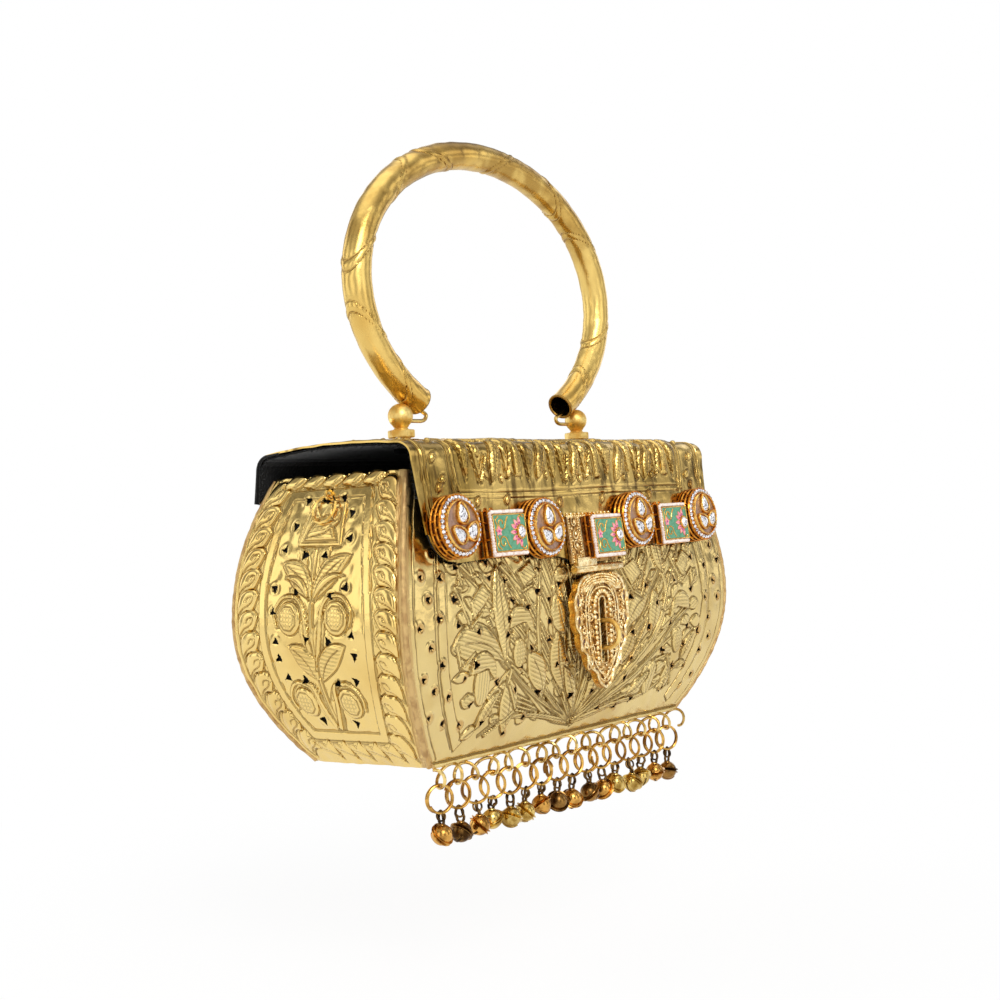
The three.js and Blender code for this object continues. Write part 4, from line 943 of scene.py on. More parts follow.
def draw_fan(relief):
    """Margin strips between double lines and, from the foot, a fan of stems with leaves and flowers."""
    for side in (-1, 1):
        relief.raise_shape(ribbon_outline(field_rail(side), 5.6, 1.0, 40), 0.3, 0.9, crease=0.3)
        relief.chase(field_rail(side) + (side * 4.4, 0), 0.2, 50)
        levels = np.linspace(3, 120, 20)
        relief.chase(np.stack([side * (half_width(levels) - 5.5), levels], 1), 0.22, 50)
    foot = (-1.0, 6.5)
    fan_fill(relief, np.array(foot))
    stems = (
        ([foot, (-20, 11.5), (-41, 25), (-60, 39), (-72, 47)], 3.4),
        ([foot, (-38, 24), (-60, 40), (-74, 60)], 2.2),
        ([foot, (-28, 24), (-38, 50), (-35, 72), (-33, 82)], 3.2),
        ([foot, (-34, 14), (-56, 15), (-70, 9.5)], 2.4),
        ([foot, (-16, 26), (-27, 52), (-25, 72), (-29, 84)], 2.8),
        ([foot, (-8, 26), (-11, 52), (-9, 80)], 2.6),
        ([foot, (-24, 20), (-42, 36), (-47, 55), (-49, 70)], 2.2), ([foot, (2, 30), (4, 60), (3, 88)], 3.0),
        ([foot, (10, 24), (17, 50), (16, 80)], 2.8),
        ([foot, (24.9, 16.8), (41.7, 29.2), (58, 42), (66.8, 63), (58, 80)], 5.0),
        ([foot, (22, 20), (28, 36), (30, 58), (34, 84)], 2.8),
        ([foot, (36, 20), (58, 32), (76, 46), (88, 52)], 3.2), ([foot, (34, 11), (58, 13), (84, 24)], 2.8),
        ([foot, (30, 24), (46, 44), (55, 60)], 2.4), ([(63, 52), (70, 66), (82, 84)], 2.6),
    )
    for points, width in stems:
        relief.stem(points, width * 1.15, 1.0, 0.55)
        relief.chase(points, 0.3, 40)
    for i in range(15):
        angle = -1.15 + i * 0.165
        far = np.array([math.sin(angle), math.cos(angle)])
        relief.stem([foot + far * 3, foot + far * (22 + 5 * (i % 3))], 1.7, 0.7, 0.5)
    leaves = (
        ((-60, 39.5), (-64.5, 82), 11, 1.5, 128, 1.1), ((-60, 38.8), (-97, 49), 17, -5.5, 74, 1.5),
        ((-57, 33), (-54, 8.5), 11.5, 1.5, 60, 0.9), ((-30, 20), (-45, 42), 12.5, -2.5, 70, 1.3),
        ((-14, 22), (-24, 51), 12, 2.5, 96, 1.2), ((-18, 48), (-25, 67), 12, 1.5, 100, 1.0),
        ((-8, 34), (-13, 60), 8, 1.0, 100, 1.1), ((-3, 12), (-18, 34), 7, -1, 70, 1.0),
        ((30.3, 44), (50.5, 60), 12.5, 4, 60, 1.2), ((52, 42), (54.5, 63), 10, -2.0, 60, 1.0),
        ((27, 30), (36, 47), 9, -2, 70, 1.0), ((5, 14), (16, 36), 8, 1.5, 84, 1.1),
        ((58, 11.5), (62, 30), 9, 2, 30, 0.8), ((70, 12), (72, 28), 8, -2, 60, 0.9),
        ((18, 44), (24, 66), 9, -1.5, 84, 1.1), ((8, 50), (10, 74), 8, 1, 84, 1.1),
        ((84, 26), (94, 40), 6, 1, 60, 1.0), ((40, 14), (56, 24), 6, -1.4, 60, 1.0),
        ((-74, 12), (-62, 28), 6, 1, 50, 1.0), ((64, 70), (60, 92), 8, 1, 80, 1.0),
        ((86, 70), (92, 90), 7, 1, 70, 1.0), ((-22, 72), (-18, 92), 9, 1, 80, 1.0),
        ((-88, 86), (-84, 104), 9, 1, 80, 1.0), ((-64, 90), (-60, 108), 9, 1, 80, 1.0),
        ((44, 84), (40, 104), 9, 1, 80, 1.0),
    )
    for root, tip, width, bend, hatch, belly in leaves:
        relief.leaf(root, tip, width, bend, hatch=hatch, belly=belly, rise=1.2)
    blocks = (
        ([(-84.8, 66.7), (-75.4, 74.0), (-69.4, 69.4), (-82.6, 59.6)], 62),
        ([(-51.4, 77.0), (-41.4, 82.0), (-37.6, 74.8), (-47.4, 70.4)], 62),
        ([(30.2, 74.5), (40.4, 78.4), (45.8, 71.0), (36.4, 65.4)], 52),
        ([(76.6, 73.5), (84.0, 80.4), (89.8, 76.0), (82.4, 67.0)], 62),
    )
    for corners, hatch in blocks:
        relief.raise_shape(np.array(corners), 0.9, 1.6, hatch=hatch)
    zigzags = (
        [(-91, 83), (-88.4, 72.5), (-93.6, 74.0), (-85.2, 56.6), (-77, 62)],
        [(-88.6, 82.6), (-80.8, 76), (-84, 84)], [(-62, 81), (-48.6, 68.8), (-40, 71.2), (-36, 66)],
        [(-70, 25), (-56, 37), (-57, 30), (-49, 18), (-66, 9)], [(28, 74), (37, 63), (44, 60), (49, 70)],
        [(72, 78), (82, 63.5), (92, 71)], [(66, 14), (76, 22), (80, 14)], [(-94, 50), (-90, 40), (-82, 46)],
        [(60, 28), (70, 30), (76, 20)],
    )
    for points in zigzags:
        for i in range(len(points) - 1):
            relief.raise_shape(ribbon_outline(points[i:i + 2], 1.7, 0.9, 6), 0.6, 0.7, crease=0.35)
    for x, z, w, h in ((-75, 32, 5.2, 9.2), (-51.7, 43.1, 4.2, 6.6), (78.1, 36.4, 4.4, 6.4),
                       (-20, 74, 4.6, 4.0), (-45, 96, 6, 8), (12, 96, 5, 8), (78, 98, 5, 7)):
        relief.raise_shape(round_outline((x, z), w, h, 24, 0.12), 1.1, 2.0, hatch=4 if w > 5 else 96,
                           cross=w < 5)
    for x, z, flip in ((-51.0, 57.0, 1), (79.0, 54.0, -1), (-76, 40, 1)):
        hood = [(x - 8.2 * flip, z - 3.4), (x - 7.2 * flip, z + 3.8), (x, z + 6.2), (x + 7.4 * flip, z + 1.6),
                (x + 9.2 * flip, z - 6.4), (x + 5.4 * flip, z - 4.2), (x + 2.8 * flip, z - 1.6),
                (x - 2.4 * flip, z - 2.4)]
        relief.raise_shape(smooth_line(hood + hood[:1], 30)[:-1], 1.15, 2.0, hatch=88)
    hem = np.array([(-95.6, -1), (95.6, -1), (95.6, 1.7), (-95.6, 1.7)])
    relief.raise_shape(hem, 0.9, 0.7, crease=0.4)
    for hole in FIELD_HOLES:
        relief.punch(hole, 1.7, 0.3)
    for hole in MARGIN_HOLES + RIGHT_MARGIN_HOLES:
        relief.punch(hole, 2.1, 0.6)
    relief.height += 0.32 * waves(relief.places, (70, 30), 7) + 0.2 * waves(relief.places, (12, 8), 17)
    reach = half_width(relief.places[:, 1]) - np.abs(relief.places[:, 0])
    relief.sanded = np.clip((3.4 - reach) / 0.8, 0, 1)
    relief.height -= 0.6 * np.exp(-(reach / 1.4) ** 2)


def panel_place(side):
    def place(places, height):
        return on_panel(side, places[:, 0], places[:, 1], height)
    return place


def hole_outlines(groups, seed, sizes):
    dice = np.random.default_rng(seed)
    return [triangle(hole, dice.uniform(*sizes), dice.uniform(0, 120)) for hole in groups]


def end_holes():
    """The end's pierced holes and, for its ring's eyelet, two drilled ones."""
    drilled = [round_outline((0, level), 0.9, 0.9, 9) for level in (110.6, 115.4)]
    return hole_outlines(END_HOLES, 3, (3.4, 4.3)) + drilled


def fan_holes():
    margins = hole_outlines(MARGIN_HOLES + RIGHT_MARGIN_HOLES, 6, (2.5, 3.3))
    return hole_outlines(FIELD_HOLES, 5, (2.8, 3.8)) + margins


def seam(name, side_x, side_y):
    """Sanded solder that fills the corner between two panels."""
    levels = np.linspace(0.6, 121, 110)
    dice = np.random.default_rng(11 + side_x * 3 + side_y)
    lumps = 1.2 + 0.22 * waves(np.stack([levels, levels * 0], 1), (9, 4), 5)
    lumps = lumps + dice.uniform(-0.06, 0.06, len(levels))
    points = np.stack([side_x * (half_width(levels) - 0.9), side_y * (half_depth(levels) - 0.9), levels], 1)
    return tube(name, points, lumps, 10)


# The lid


def lid_curve(count=150):
    """The lid's section from the foot of its back flap over the crown to the foot of its front flap."""
    def bend(a, b, c, share):
        return a * (1 - share) ** 2 + 2 * b * share * (1 - share) + c * share ** 2
    corners = [((43.4, 112), (42.6, 118), (41.8, 125.2)), ((41.8, 125.2), (41.6, 131.2), (35.6, 132.6)),
               ((35.6, 132.6), (0, 137.2), (-40, 133.2)), ((-40, 133.2), (-46, 131.7), (-46, 125.2)),
               ((-46, 125.2), (-48.6, 101), (-51.3, 76))]
    points = []
    for a, b, c in corners:
        share = np.linspace(0, 1, 60)[:, None]
        points.append(bend(np.array(a), np.array(b), np.array(c), share)[:-1])
    points = np.concatenate(points + [[(-51.31, 76)]])
    steps = np.concatenate([[0], np.cumsum(np.linalg.norm(np.diff(points, axis=0), axis=1))])
    even = np.linspace(0, steps[-1], count)
    return np.stack([np.interp(even, steps, points[:, i]) for i in (0, 1)], 1), steps[-1]


LID_LINE, LID_LENGTH = lid_curve()
LID_SIDE = side_of(LID_LINE)
FOOT_X = np.array([0, 9, 16, 22, 28, 33, 45, 60, 75, 93.5, 100, 104, 106.8, 108.4])
FOOT_Z = np.array([78, 78.6, 80, 81.6, 82.6, 83.1, 84.0, 84.4, 84.0, 83.2, 84.4, 86.6, 90, 95.5])


def flap_foot(x):
    """Height of the wavy foot of the front flap."""
    return np.interp(np.abs(x - HASP_X), FOOT_X, FOOT_Z)


def lid_half_width(rise):
    """Half the lid's width at a length above the foot line of the flap."""
    return np.interp(rise, [0, 49.5], [LID_HALF_FRONT, LID_HALF_BACK])


def lid_place(places, height):
    """A place across the lid and along it from the foot line of the flap, and the way out there."""
    along = np.clip(LID_LENGTH - places[:, 1], 0, LID_LENGTH) / LID_LENGTH * (len(LID_LINE) - 1)
    number = np.arange(len(LID_LINE))
    point = np.stack([np.interp(along, number, LID_LINE[:, i]) for i in (0, 1)], 1)
    out = -np.stack([np.interp(along, number, LID_SIDE[:, i]) for i in (0, 1)], 1)
    out /= np.linalg.norm(out, axis=1)[:, None]
    spot = point + out * height[:, None]
    return (np.stack([places[:, 0], spot[:, 0], spot[:, 1]], 1),
            np.stack([np.zeros(len(out)), out[:, 0], out[:, 1]], 1))


def lid_spread(s, t):
    """Grid shares to places on the lid, its lowest rows drawn up to the wavy foot of the flap."""
    low = 24.0
    rise = (t + 1) * 0.5 * LID_LENGTH
    foot = flap_foot(s * lid_half_width(rise)) - FLAP_FOOT_Z
    rise = np.where(rise < low, foot + (low - foot) * np.clip(rise / low, 0, 1), rise)
    return s * lid_half_width(rise), rise


def lid_fill(relief):
    """Leaves, bars and hatched wedges in rows that run over the lid from front to back."""
    dice = np.random.default_rng(23)
    row_rise = 67.0
    while row_rise < LID_LENGTH - 8:
        x = -86.0
        while x < 87:
            lean = dice.uniform(-0.75, 0.75) + (math.pi if dice.uniform() < 0.4 else 0)
            middle = np.array([x, row_rise + dice.uniform(-1.5, 1.5)])
            reach = dice.uniform(5, 7.5) * np.array([math.sin(lean), math.cos(lean)])
            hatch = dice.uniform(20, 160) if dice.uniform() < 0.55 else None
            relief.leaf(middle - reach, middle + reach, dice.uniform(4.5, 7.5), dice.uniform(-1.2, 1.2),
                        hatch=hatch, belly=dice.uniform(0.7, 1.7), rise=dice.uniform(0.8, 1.5),
                        vein=dice.uniform() < 0.3, crease=0.45)
            x += dice.uniform(5.6, 8.4)
        row_rise += 9.6


def draw_lid(relief):
    """Margin lines with bumps, strips and wedges from front to back, a double line above the jewels."""
    line_rise = 36.0
    full = LID_LENGTH - 4
    lid_fill(relief)
    for side in (-1, 1):
        for inset_x, width in ((5.2, 1.4), (7.6, 1.2), (23.0, 1.8), (25.8, 1.4)):
            x = side * (LID_HALF_BACK - inset_x)
            low = 14 if inset_x < 20 else line_rise - 2
            relief.stem([(x - side * 1.8, low), (x, 49), (x, 90), (x, full)], width, 0.6, 1.0)
        for number, rise in enumerate((41, 50, 60, 71, 84, 96, 110, 124)):
            x = side * (LID_HALF_BACK - (12.5 if number % 2 else 17.5))
            bump = leaf_outline((x - 2, rise - 2), (x + 2, rise + 2.4), 3.6, 0.4, 1.0, 8)
            relief.raise_shape(bump, 1.4, 1.8)
    relief.chase([(-86, line_rise), (-30, line_rise - 0.5), (30, line_rise + 0.4), (86, line_rise)], 0.35, 40)
    relief.chase([(-86, line_rise - 2.6), (-30, line_rise - 3), (30, line_rise - 2.4),
                  (86, line_rise - 2.8)], 0.3, 40)
    dice = np.random.default_rng(21)
    x = -84.0
    number = 0
    while x < 84:
        wide = dice.uniform(6.5, 9.5)
        low = line_rise + dice.uniform(2.5, 6)
        top = dice.uniform(57, 64)
        kind = (0, 1, 2, 1, 3, 0, 2)[number % 7]
        if kind == 0:
            wedge = np.array([(x, top), (x + wide * 0.45, low), (x + wide, top - 3), (x + wide * 0.6, top)])
            relief.raise_shape(wedge, 1.5, 1.6, hatch=dice.uniform(50, 130), crease=0.6)
        elif kind == 1:
            for start, end in (((x, top), (x + wide * 0.4, low)),
                               ((x + wide * 0.4, low), (x + wide * 0.95, top - 6))):
                relief.raise_shape(ribbon_outline([start, end], 2.2, 0.7, 6), 1.5, 1.1, crease=0.6)
            relief.raise_shape(round_outline((x + wide * 0.42, top - 4), 2.0, 3.4, 12), 1.4, 1.6, crease=0.5)
            bud = leaf_outline((x + wide, low + 1), (x + wide * 0.7, low + 7), 2.6, 0.3, 1.0, 8)
            relief.raise_shape(bud, 1.1, 1.2)
        elif kind == 2:
            relief.leaf((x + wide * 0.8, top), (x + wide * 0.1, low), wide * 0.8, 1.4, hatch=64, rise=1.6,
                        crease=0.6)
            relief.raise_shape(round_outline((x + wide * 0.9, low + 2), 1.5, 2.0, 10), 1.3, 1.2)
        else:
            strip = ribbon_outline([(x + wide * 0.5, low), (x + wide * 0.45, full - 10)], wide * 0.6, 1.0, 40)
            relief.raise_shape(strip, 1.1, 1.4, hatch=118, crease=0.6)
        spot = relief.near(np.array([(x + wide * 0.5, low + 4)] * 2), 1.6)
        relief.stain[spot] = np.maximum(relief.stain[spot], 0.9 if number % 3 == 0 else 0)
        x += wide + dice.uniform(0, 0.8)
        number += 1
    for spot_x, rise in ((-74, 31.6), (-16, 30), (50, 31), (58, 32), (-54, 32), (-98, 38), (98, 36),
                         (18, 31)):
        bump = leaf_outline((spot_x - 1.6, rise - 2.4), (spot_x + 1.8, rise + 2.4), 3.4, 0.5, 1.0, 8)
        relief.raise_shape(bump, 1.1, 1.6)
        relief.stain[relief.near(np.array([(spot_x, rise)] * 2, float), 2.4)] = 0.8
    broad = 0.45 * waves(relief.places * (1.0, 0.35), (46, 22), 9)
    relief.height += broad + 0.16 * waves(relief.places, (13, 8), 19)


def lid_holes():
    return [round_outline((x, LID_LENGTH - 72.2), 1.9, 1.9, 9) for x in (-POST_X, POST_X)]


# Jewels


def flap_y(level):
    """How far forward the flap's face is at a level."""
    return -(FLAP_Y + (FLAP_BEND_Z - level) * FLAP_LEAN)


def on_flap(x, level, stand):
    """The matrix that sets a piece built facing up on the leaning flap."""
    normal = Vector((0, -math.cos(FLAP_TILT), math.sin(FLAP_TILT)))
    up = Vector((0, math.sin(FLAP_TILT), math.cos(FLAP_TILT)))
    place = Vector([a + b * stand for a, b in zip((x, flap_y(level), level), normal)])
    return Matrix(((1, up.x, normal.x, place.x), (0, up.y, normal.y, place.y), (0, up.z, normal.z, place.z),
                   (0, 0, 0, 1)))


class Bench:
    """Jeweller's bench: gathers small parts, each in plain millimetres, and sets them as one piece."""

    def __init__(self, name, matrix):
        self.name = name
        self.matrix = matrix
        self.parts = []

    def add(self, piece, look, angle=None):
        piece.data.materials.clear()
        piece.data.materials.append(finish(look))
        if angle:
            smoothed(piece, angle)
        self.parts.append(piece)
        return piece

    def turned(self, piece, look, shift=(0, 0, 0), angle=40):
        """A spun piece, moved by a shift and brought to the bench's scale."""
        piece.data.transform(Matrix.Scale(0.001, 4) @ Matrix.Translation(shift))
        return self.add(piece, look, angle)

    def mesh(self, points, faces, look, angle=None):
        return self.add(mesh_piece("part", points, faces, True), look, angle)

    def loft(self, outlines, heights, look, angle=30, capped=True):
        """Walls through outlines of the same length, one above the other, closed on top."""
        count = len(outlines[0])
        points = [(x, y, z) for outline, z in zip(outlines, heights) for x, y in outline]
        faces = []
        for i in range(len(outlines) - 1):
            faces += wall(i * count, (i + 1) * count, count)
        if capped:
            last = (len(outlines) - 1) * count
            faces.append(tuple(last + k for k in range(count)))
        return self.mesh(points, faces, look, angle)

    def bead(self, places, radius, look, flat=1.0):
        """Round grains at the given places."""
        bpy.ops.mesh.primitive_ico_sphere_add(subdivisions=2, radius=1)
        ball = bpy.context.object
        corners = corners_of(ball.data)
        triangles = [tuple(p.vertices) for p in ball.data.polygons]
        bpy.data.objects.remove(ball)
        sizes = np.broadcast_to(np.asarray(radius, float), (len(places),))
        points, faces = [], []
        for i, (place, size) in enumerate(zip(places, sizes)):
            points.append(corners * (size, size, size * flat) + place)
            faces += [tuple(v + i * len(corners) for v in tri) for tri in triangles]
        return self.mesh(np.concatenate(points), faces, look, 60)

    def wire(self, line, radius, look, sides=6, closed=False):
        """A wire laid flat along a line of places."""
        made = tube("wire", line, radius, sides, closed)
        move_corners(made.data, corners_of(made.data) - row((0, 0, 0)))
        return self.add(made, look)

    def gem(self, centre, outline, base, rise, look="stone"):
        """A faceted stone over an outline, with a girdle, a crown and a table."""
        middle = outline.mean(0)
        rings = [(1.0, 0), (1.0, 0.25 * rise), (0.72, 0.8 * rise), (0.38, rise)]
        outlines = [(outline - middle) * scale + middle for scale, _ in rings]
        return self.loft(outlines, [base + lift for _, lift in rings], look, None)

    def set(self):
        """Join the parts and put them in their place on the bag."""
        whole = joined(self.name, self.parts)
        move_corners(whole.data, row(turned_by(self.matrix, corners_of(whole.data) * 1000)))
        return whole


def grown(outline, by):
    """An outline moved outwards by a distance."""
    along = np.roll(outline, -1, 0) - np.roll(outline, 1, 0)
    along /= np.linalg.norm(along, axis=1)[:, None]
    return outline + np.stack([along[:, 1], -along[:, 0]], 1) * by


def pear_outline(centre, length, width, tip_angle, count=14):
    """A pear-shaped stone's outline with its point turned to an angle."""
    t = np.linspace(0, 2 * np.pi, count, endpoint=False)
    x = 0.5 * length * np.cos(t)
    y = 0.5 * width * np.sin(t) * (1 - 0.42 * np.cos(t)) * 1.06
    c, s = math.cos(math.radians(tip_angle)), math.sin(math.radians(tip_angle))
    return np.stack([x * c - y * s, x * s + y * c], 1) + centre


def window_wall(bench, outline, low, high, tiers, posts):
    """A side wall of gold bars round windows, with a dark sheet behind the bars as painted shade inside them.
    """
    bench.loft([grown(outline, -0.55)] * 2, [low, high], "window_dark", 40, capped=False)
    for i in range(tiers + 1):
        z = low + (high - low) * i / tiers
        bench.wire(laid(outline, z), 0.55, "orange_gold", 6, closed=True)
    steps = np.linalg.norm(np.roll(outline, -1, 0) - outline, axis=1)
    total = np.concatenate([[0], np.cumsum(steps)])
    looped = np.concatenate([outline, outline[:1]])
    for tier in range(tiers):
        z0 = low + (high - low) * tier / tiers
        z1 = low + (high - low) * (tier + 1) / tiers
        for i in range(posts):
            where = (i + 0.5 * (tier % 2)) / posts * total[-1]
            x, y = np.interp(where, total, looped[:, 0]), np.interp(where, total, looped[:, 1])
            bench.wire([(x, y, z0), (x, y, (z0 + z1) / 2), (x, y, z1)], 0.5, "orange_gold", 5)


def medallion(number, x, level):
    """Round jewel: windowed wall, a ring of crystals and three pear stones in gold bezels."""
    bench = Bench(f"jewel_medallion_{number}", on_flap(x, level, 0.3))
    ring = round_outline((0, 0), 12.6, 12.6, 48)
    window_wall(bench, ring, 0.6, 5.3, 2, 15)
    bench.turned(spun("floor", [(0.0, 6.3), (10.0, 6.3)], 36), "recess")
    bench.turned(spun("tray", [(9.8, 6.2), (9.8, 7.3), (10.02, 7.6), (10.26, 7.3), (10.36, 5.8), (12.3, 5.2),
                               (12.8, 5.5), (13.0, 5.0), (12.8, 4.6)], 48), "bezel_gold")
    count = 34
    for i in range(count):
        angle = 2 * math.pi * i / count
        centre = np.array([11.45 * math.cos(angle), 11.45 * math.sin(angle)])
        bench.gem(centre, round_outline(centre, 1.0, 1.0, 8, angle), 5.5, 1.1)
    for reach, height in ((12.5, 5.9), (10.5, 6.2)):
        bench.bead([(reach * math.cos(2 * math.pi * (i + 0.5) / count),
                     reach * math.sin(2 * math.pi * (i + 0.5) / count), height) for i in range(count)], 0.34,
                   "orange_gold")
    for centre, length, width, tip in (((0.3, 4.9), 8.4, 5.2, 96), ((-3.0, -3.5), 8.4, 5.4, 141),
                                       ((5.6, -2.4), 7.8, 5.2, 55)):
        outline = pear_outline(np.array(centre), length, width, tip)
        bench.loft([grown(outline, 0.75), grown(outline, 0.75), grown(outline, 0.4), grown(outline, 0.05),
                    grown(outline, -0.1)], [6.2, 7.7, 8.1, 7.9, 7.0], "bezel_gold", 50, capped=False)
        bench.loft([grown(outline, 0.05)] * 2, [6.6, 7.05], "orange_gold", 30)
        bench.gem(np.array(centre), grown(outline, -0.35), 7.0, 1.3)
    return bench.set()


def spiral(centre, start, turns, radius_from, radius_to, count=22):
    angle = np.linspace(start, start + turns * 2 * np.pi, count)
    reach = np.linspace(radius_from, radius_to, count)
    return np.stack([centre[0] + reach * np.cos(angle), centre[1] + reach * np.sin(angle)], 1)


def laid(line, z):
    line = np.asarray(line, float)
    return np.column_stack([line, np.full(len(line), z)])


def flower(bench, centre, size, z, petals=5, turn=0.3):
    for i in range(petals):
        angle = turn + 2 * math.pi * i / petals
        spot = (centre[0] + size * 0.62 * math.cos(angle), centre[1] + size * 0.62 * math.sin(angle))
        outline = round_outline(spot, size * 0.48, size * 0.34, 10, angle)
        bench.loft([outline, grown(outline, -0.08)], [z, z + 0.22], "pink_enamel", 60)
    bench.loft([round_outline(centre, size * 0.3, None, 8)] * 2, [z, z + 0.34], "magenta", 60)


def jewel_plate(number, x, level, stand):
    """Oblong jewel: seed pearls round green enamel with gold scrolls, pink flowers and one crystal."""
    bench = Bench(f"jewel_plate_{number}", on_flap(x, level, stand))
    half_x, half_y = 12.25, 9.8
    frame_x, frame_y = half_x - 0.5, half_y - 0.5
    corners = np.array([(-frame_x, -frame_y), (frame_x, -frame_y), (frame_x, frame_y), (-frame_x, frame_y)])
    outline = divided(corners, np.linspace(0, 1, 8, endpoint=False))
    window_wall(bench, outline, 0.4, 3.3, 1, 12)
    bench.loft([outline, outline, grown(outline, -0.25)], [3.2, 3.7, 3.9], "orange_gold", 40)
    pearls = [(-half_x + 0.95, y, 4.0) for y in np.arange(-half_y + 0.9, half_y - 0.6, 1.22)]
    pearls += [(px, side * (half_y - 0.95), 4.0) for side in (-1, 1)
               for px in np.arange(-half_x + 2.2, half_x - 0.4, 1.22)]
    dice = np.random.default_rng(40 + number)
    bench.bead(pearls, dice.uniform(0.8, 0.96, len(pearls)), "pearl")
    low_x, high_x, low_y, high_y = -half_x + 2.4, half_x - 0.7, -half_y + 2.3, half_y - 2.3
    field = np.array([(low_x, low_y), (high_x, low_y), (high_x, high_y), (low_x, high_y)])
    bench.loft([field, field, grown(field, -0.15)], [3.6, 4.3, 4.4], "green_enamel", 30)
    rim = divided(grown(field, 0.25), (0.02, 0.5, 0.98))
    bench.wire(laid(rim, 4.35), 0.34, "bezel_gold", 6, closed=True)
    for flip in (-1, 1):
        curl = spiral((-4.9, flip * 4.0), flip * 5.6, -flip * 0.95, 2.7, 0.8, 26)
        sweep = smooth_line([(-0.2, flip * 6.6), (-1.6, flip * 5.0), tuple(curl[0])], 10)
        scrolls = [np.concatenate([sweep[:-1], curl]),
                   smooth_line([(-8.8, flip * 1.0), (-7.9, flip * 3.0), (-8.6, flip * 5.4),
                                (-6.6, flip * 6.9)], 14),
                   spiral((9.3, flip * 5.9), flip * 3.4, -flip * 0.5, 1.6, 0.9)]
        for line in scrolls:
            line[:, 1] = np.clip(line[:, 1], low_y + 0.5, high_y - 0.5)
            line[:, 0] = np.clip(line[:, 0], low_x + 0.4, high_x - 0.4)
            bench.wire(laid(line, 4.45), 0.32, "bezel_gold", 6)
    flower(bench, (-7.0, 0.8), 2.0, 4.4, 5, 0.3)
    for angle, reach in ((95, 5.4), (122, 5.2), (148, 5.0), (180, 4.9), (212, 5.0), (238, 5.2), (265, 5.4)):
        a = math.radians(angle)
        root = np.array([7.65 + 2.9 * math.cos(a), 2.9 * math.sin(a)])
        tip = np.array([7.65 + reach * 1.4 * math.cos(a), reach * 1.22 * math.sin(a)])
        petal = leaf_outline(root, tip, 1.9, 0, 0.8, 10)[::-1]
        bench.loft([grown(petal, 0.12)] * 2, [4.38, 4.5], "bezel_gold", 60)
        bench.loft([petal, grown(petal, -0.12)], [4.4, 4.62], "pink_enamel", 60)
        spot = root * 0.72 + tip * 0.28
        bench.loft([round_outline(spot, 0.5, None, 8)] * 2, [4.5, 4.74], "magenta", 60)
    eye = round_outline((7.65, 0), 2.35, 2.6, 16)
    bench.loft([grown(eye, 0.55), grown(eye, 0.55), grown(eye, 0.25), grown(eye, -0.05)],
               [4.2, 5.2, 5.4, 5.1], "bezel_gold", 50)
    bench.gem((7.65, 0), round_outline((7.65, 0), 2.2, 2.45, 12), 5.05, 1.3)
    for flip in (-1, 1):
        bench.turned(spun("loop", [(0.5, -0.25), (1.0, -0.25), (1.0, 0.25), (0.5, 0.25), (0.5, -0.25)], 12),
                     "orange_gold", (-half_x + 4.0 + flip * 2.0, half_y + 0.4, 1.2), 50)
    return bench.set()


# Hasp


def shield_outline():
    """The hasp's scalloped outline, from its hinge down, as places across and up from the pin."""
    half = 18.5
    left = [(-9.0, -2.4), (-12.8, -3.0), (-15.8, -4.5), (-17.8, -6.9)]
    lobes = [(-half - 0.2, -9.4), (-half - 2.2, -19), (-half + 0.2, -28.5), (-half + 4.5, -38),
             (-half + 11.5, -46.5), (-0.1, -54.1)]
    for i in range(len(lobes) - 1):
        a, b = np.array(lobes[i]), np.array(lobes[i + 1])
        for share in np.linspace(0.05, 1, 9):
            left.append(tuple(a + (b - a) * share - square_to(b - a) * 1.8 * math.sin(math.pi * share)))
    left = np.array(left)
    right = left[::-1] * (-1, 1)
    return np.concatenate([left, right])


def slot_outline():
    angle = np.linspace(0, np.pi, 9)
    arch = np.stack([1.9 * np.cos(angle), -15.4 + 1.9 * np.sin(angle)], 1)
    sides = [(-1.9, -24), (-1.9, -33), (-1.9, -42.2), (0, -42.2), (1.9, -42.2), (1.9, -33), (1.9, -24)]
    return np.concatenate([arch, sides])


HASP_FACE_Y = flap_y(HASP_PIN_Z) - 2.2
SHIELD_Y = HASP_FACE_Y - 0.6


def draw_shield(relief):
    """Two raised rims inside the shield's edge, on hammered and stained ground."""
    rims = shield_outline()
    for inset_by in (0.9, 2.6):
        ring = grown(rims, -inset_by)
        here = relief.near(ring, 3)
        gap, _ = distances(relief.places[here], ring)
        relief.height[here] += 0.45 * np.exp(-(gap / 0.55) ** 2)
        relief.edge[here] = np.minimum(relief.edge[here], np.abs(np.abs(gap) - 0.85))
    relief.height += 0.12 * waves(relief.places, (3.1, 2.2), 3)
    relief.stain += 0.55


def hasp_shield():
    """Hanging shield: scalloped sheet under wires, scrolls and grains round an arched slot."""
    outline = shield_outline()
    slot = slot_outline()

    def spread(s, t):
        return s * 22.6, (t - 1) * 27.6 - 0.9

    def place(places, height):
        points = np.stack([HASP_X + places[:, 0], SHIELD_Y - height, HASP_PIN_Z + places[:, 1]], 1)
        normals = np.tile((0.0, -1.0, 0.0), (len(points), 1))
        return points, normals

    return chased_sheet("shield_sheet", 120, 148, spread, place, draw_shield, [slot], outline)


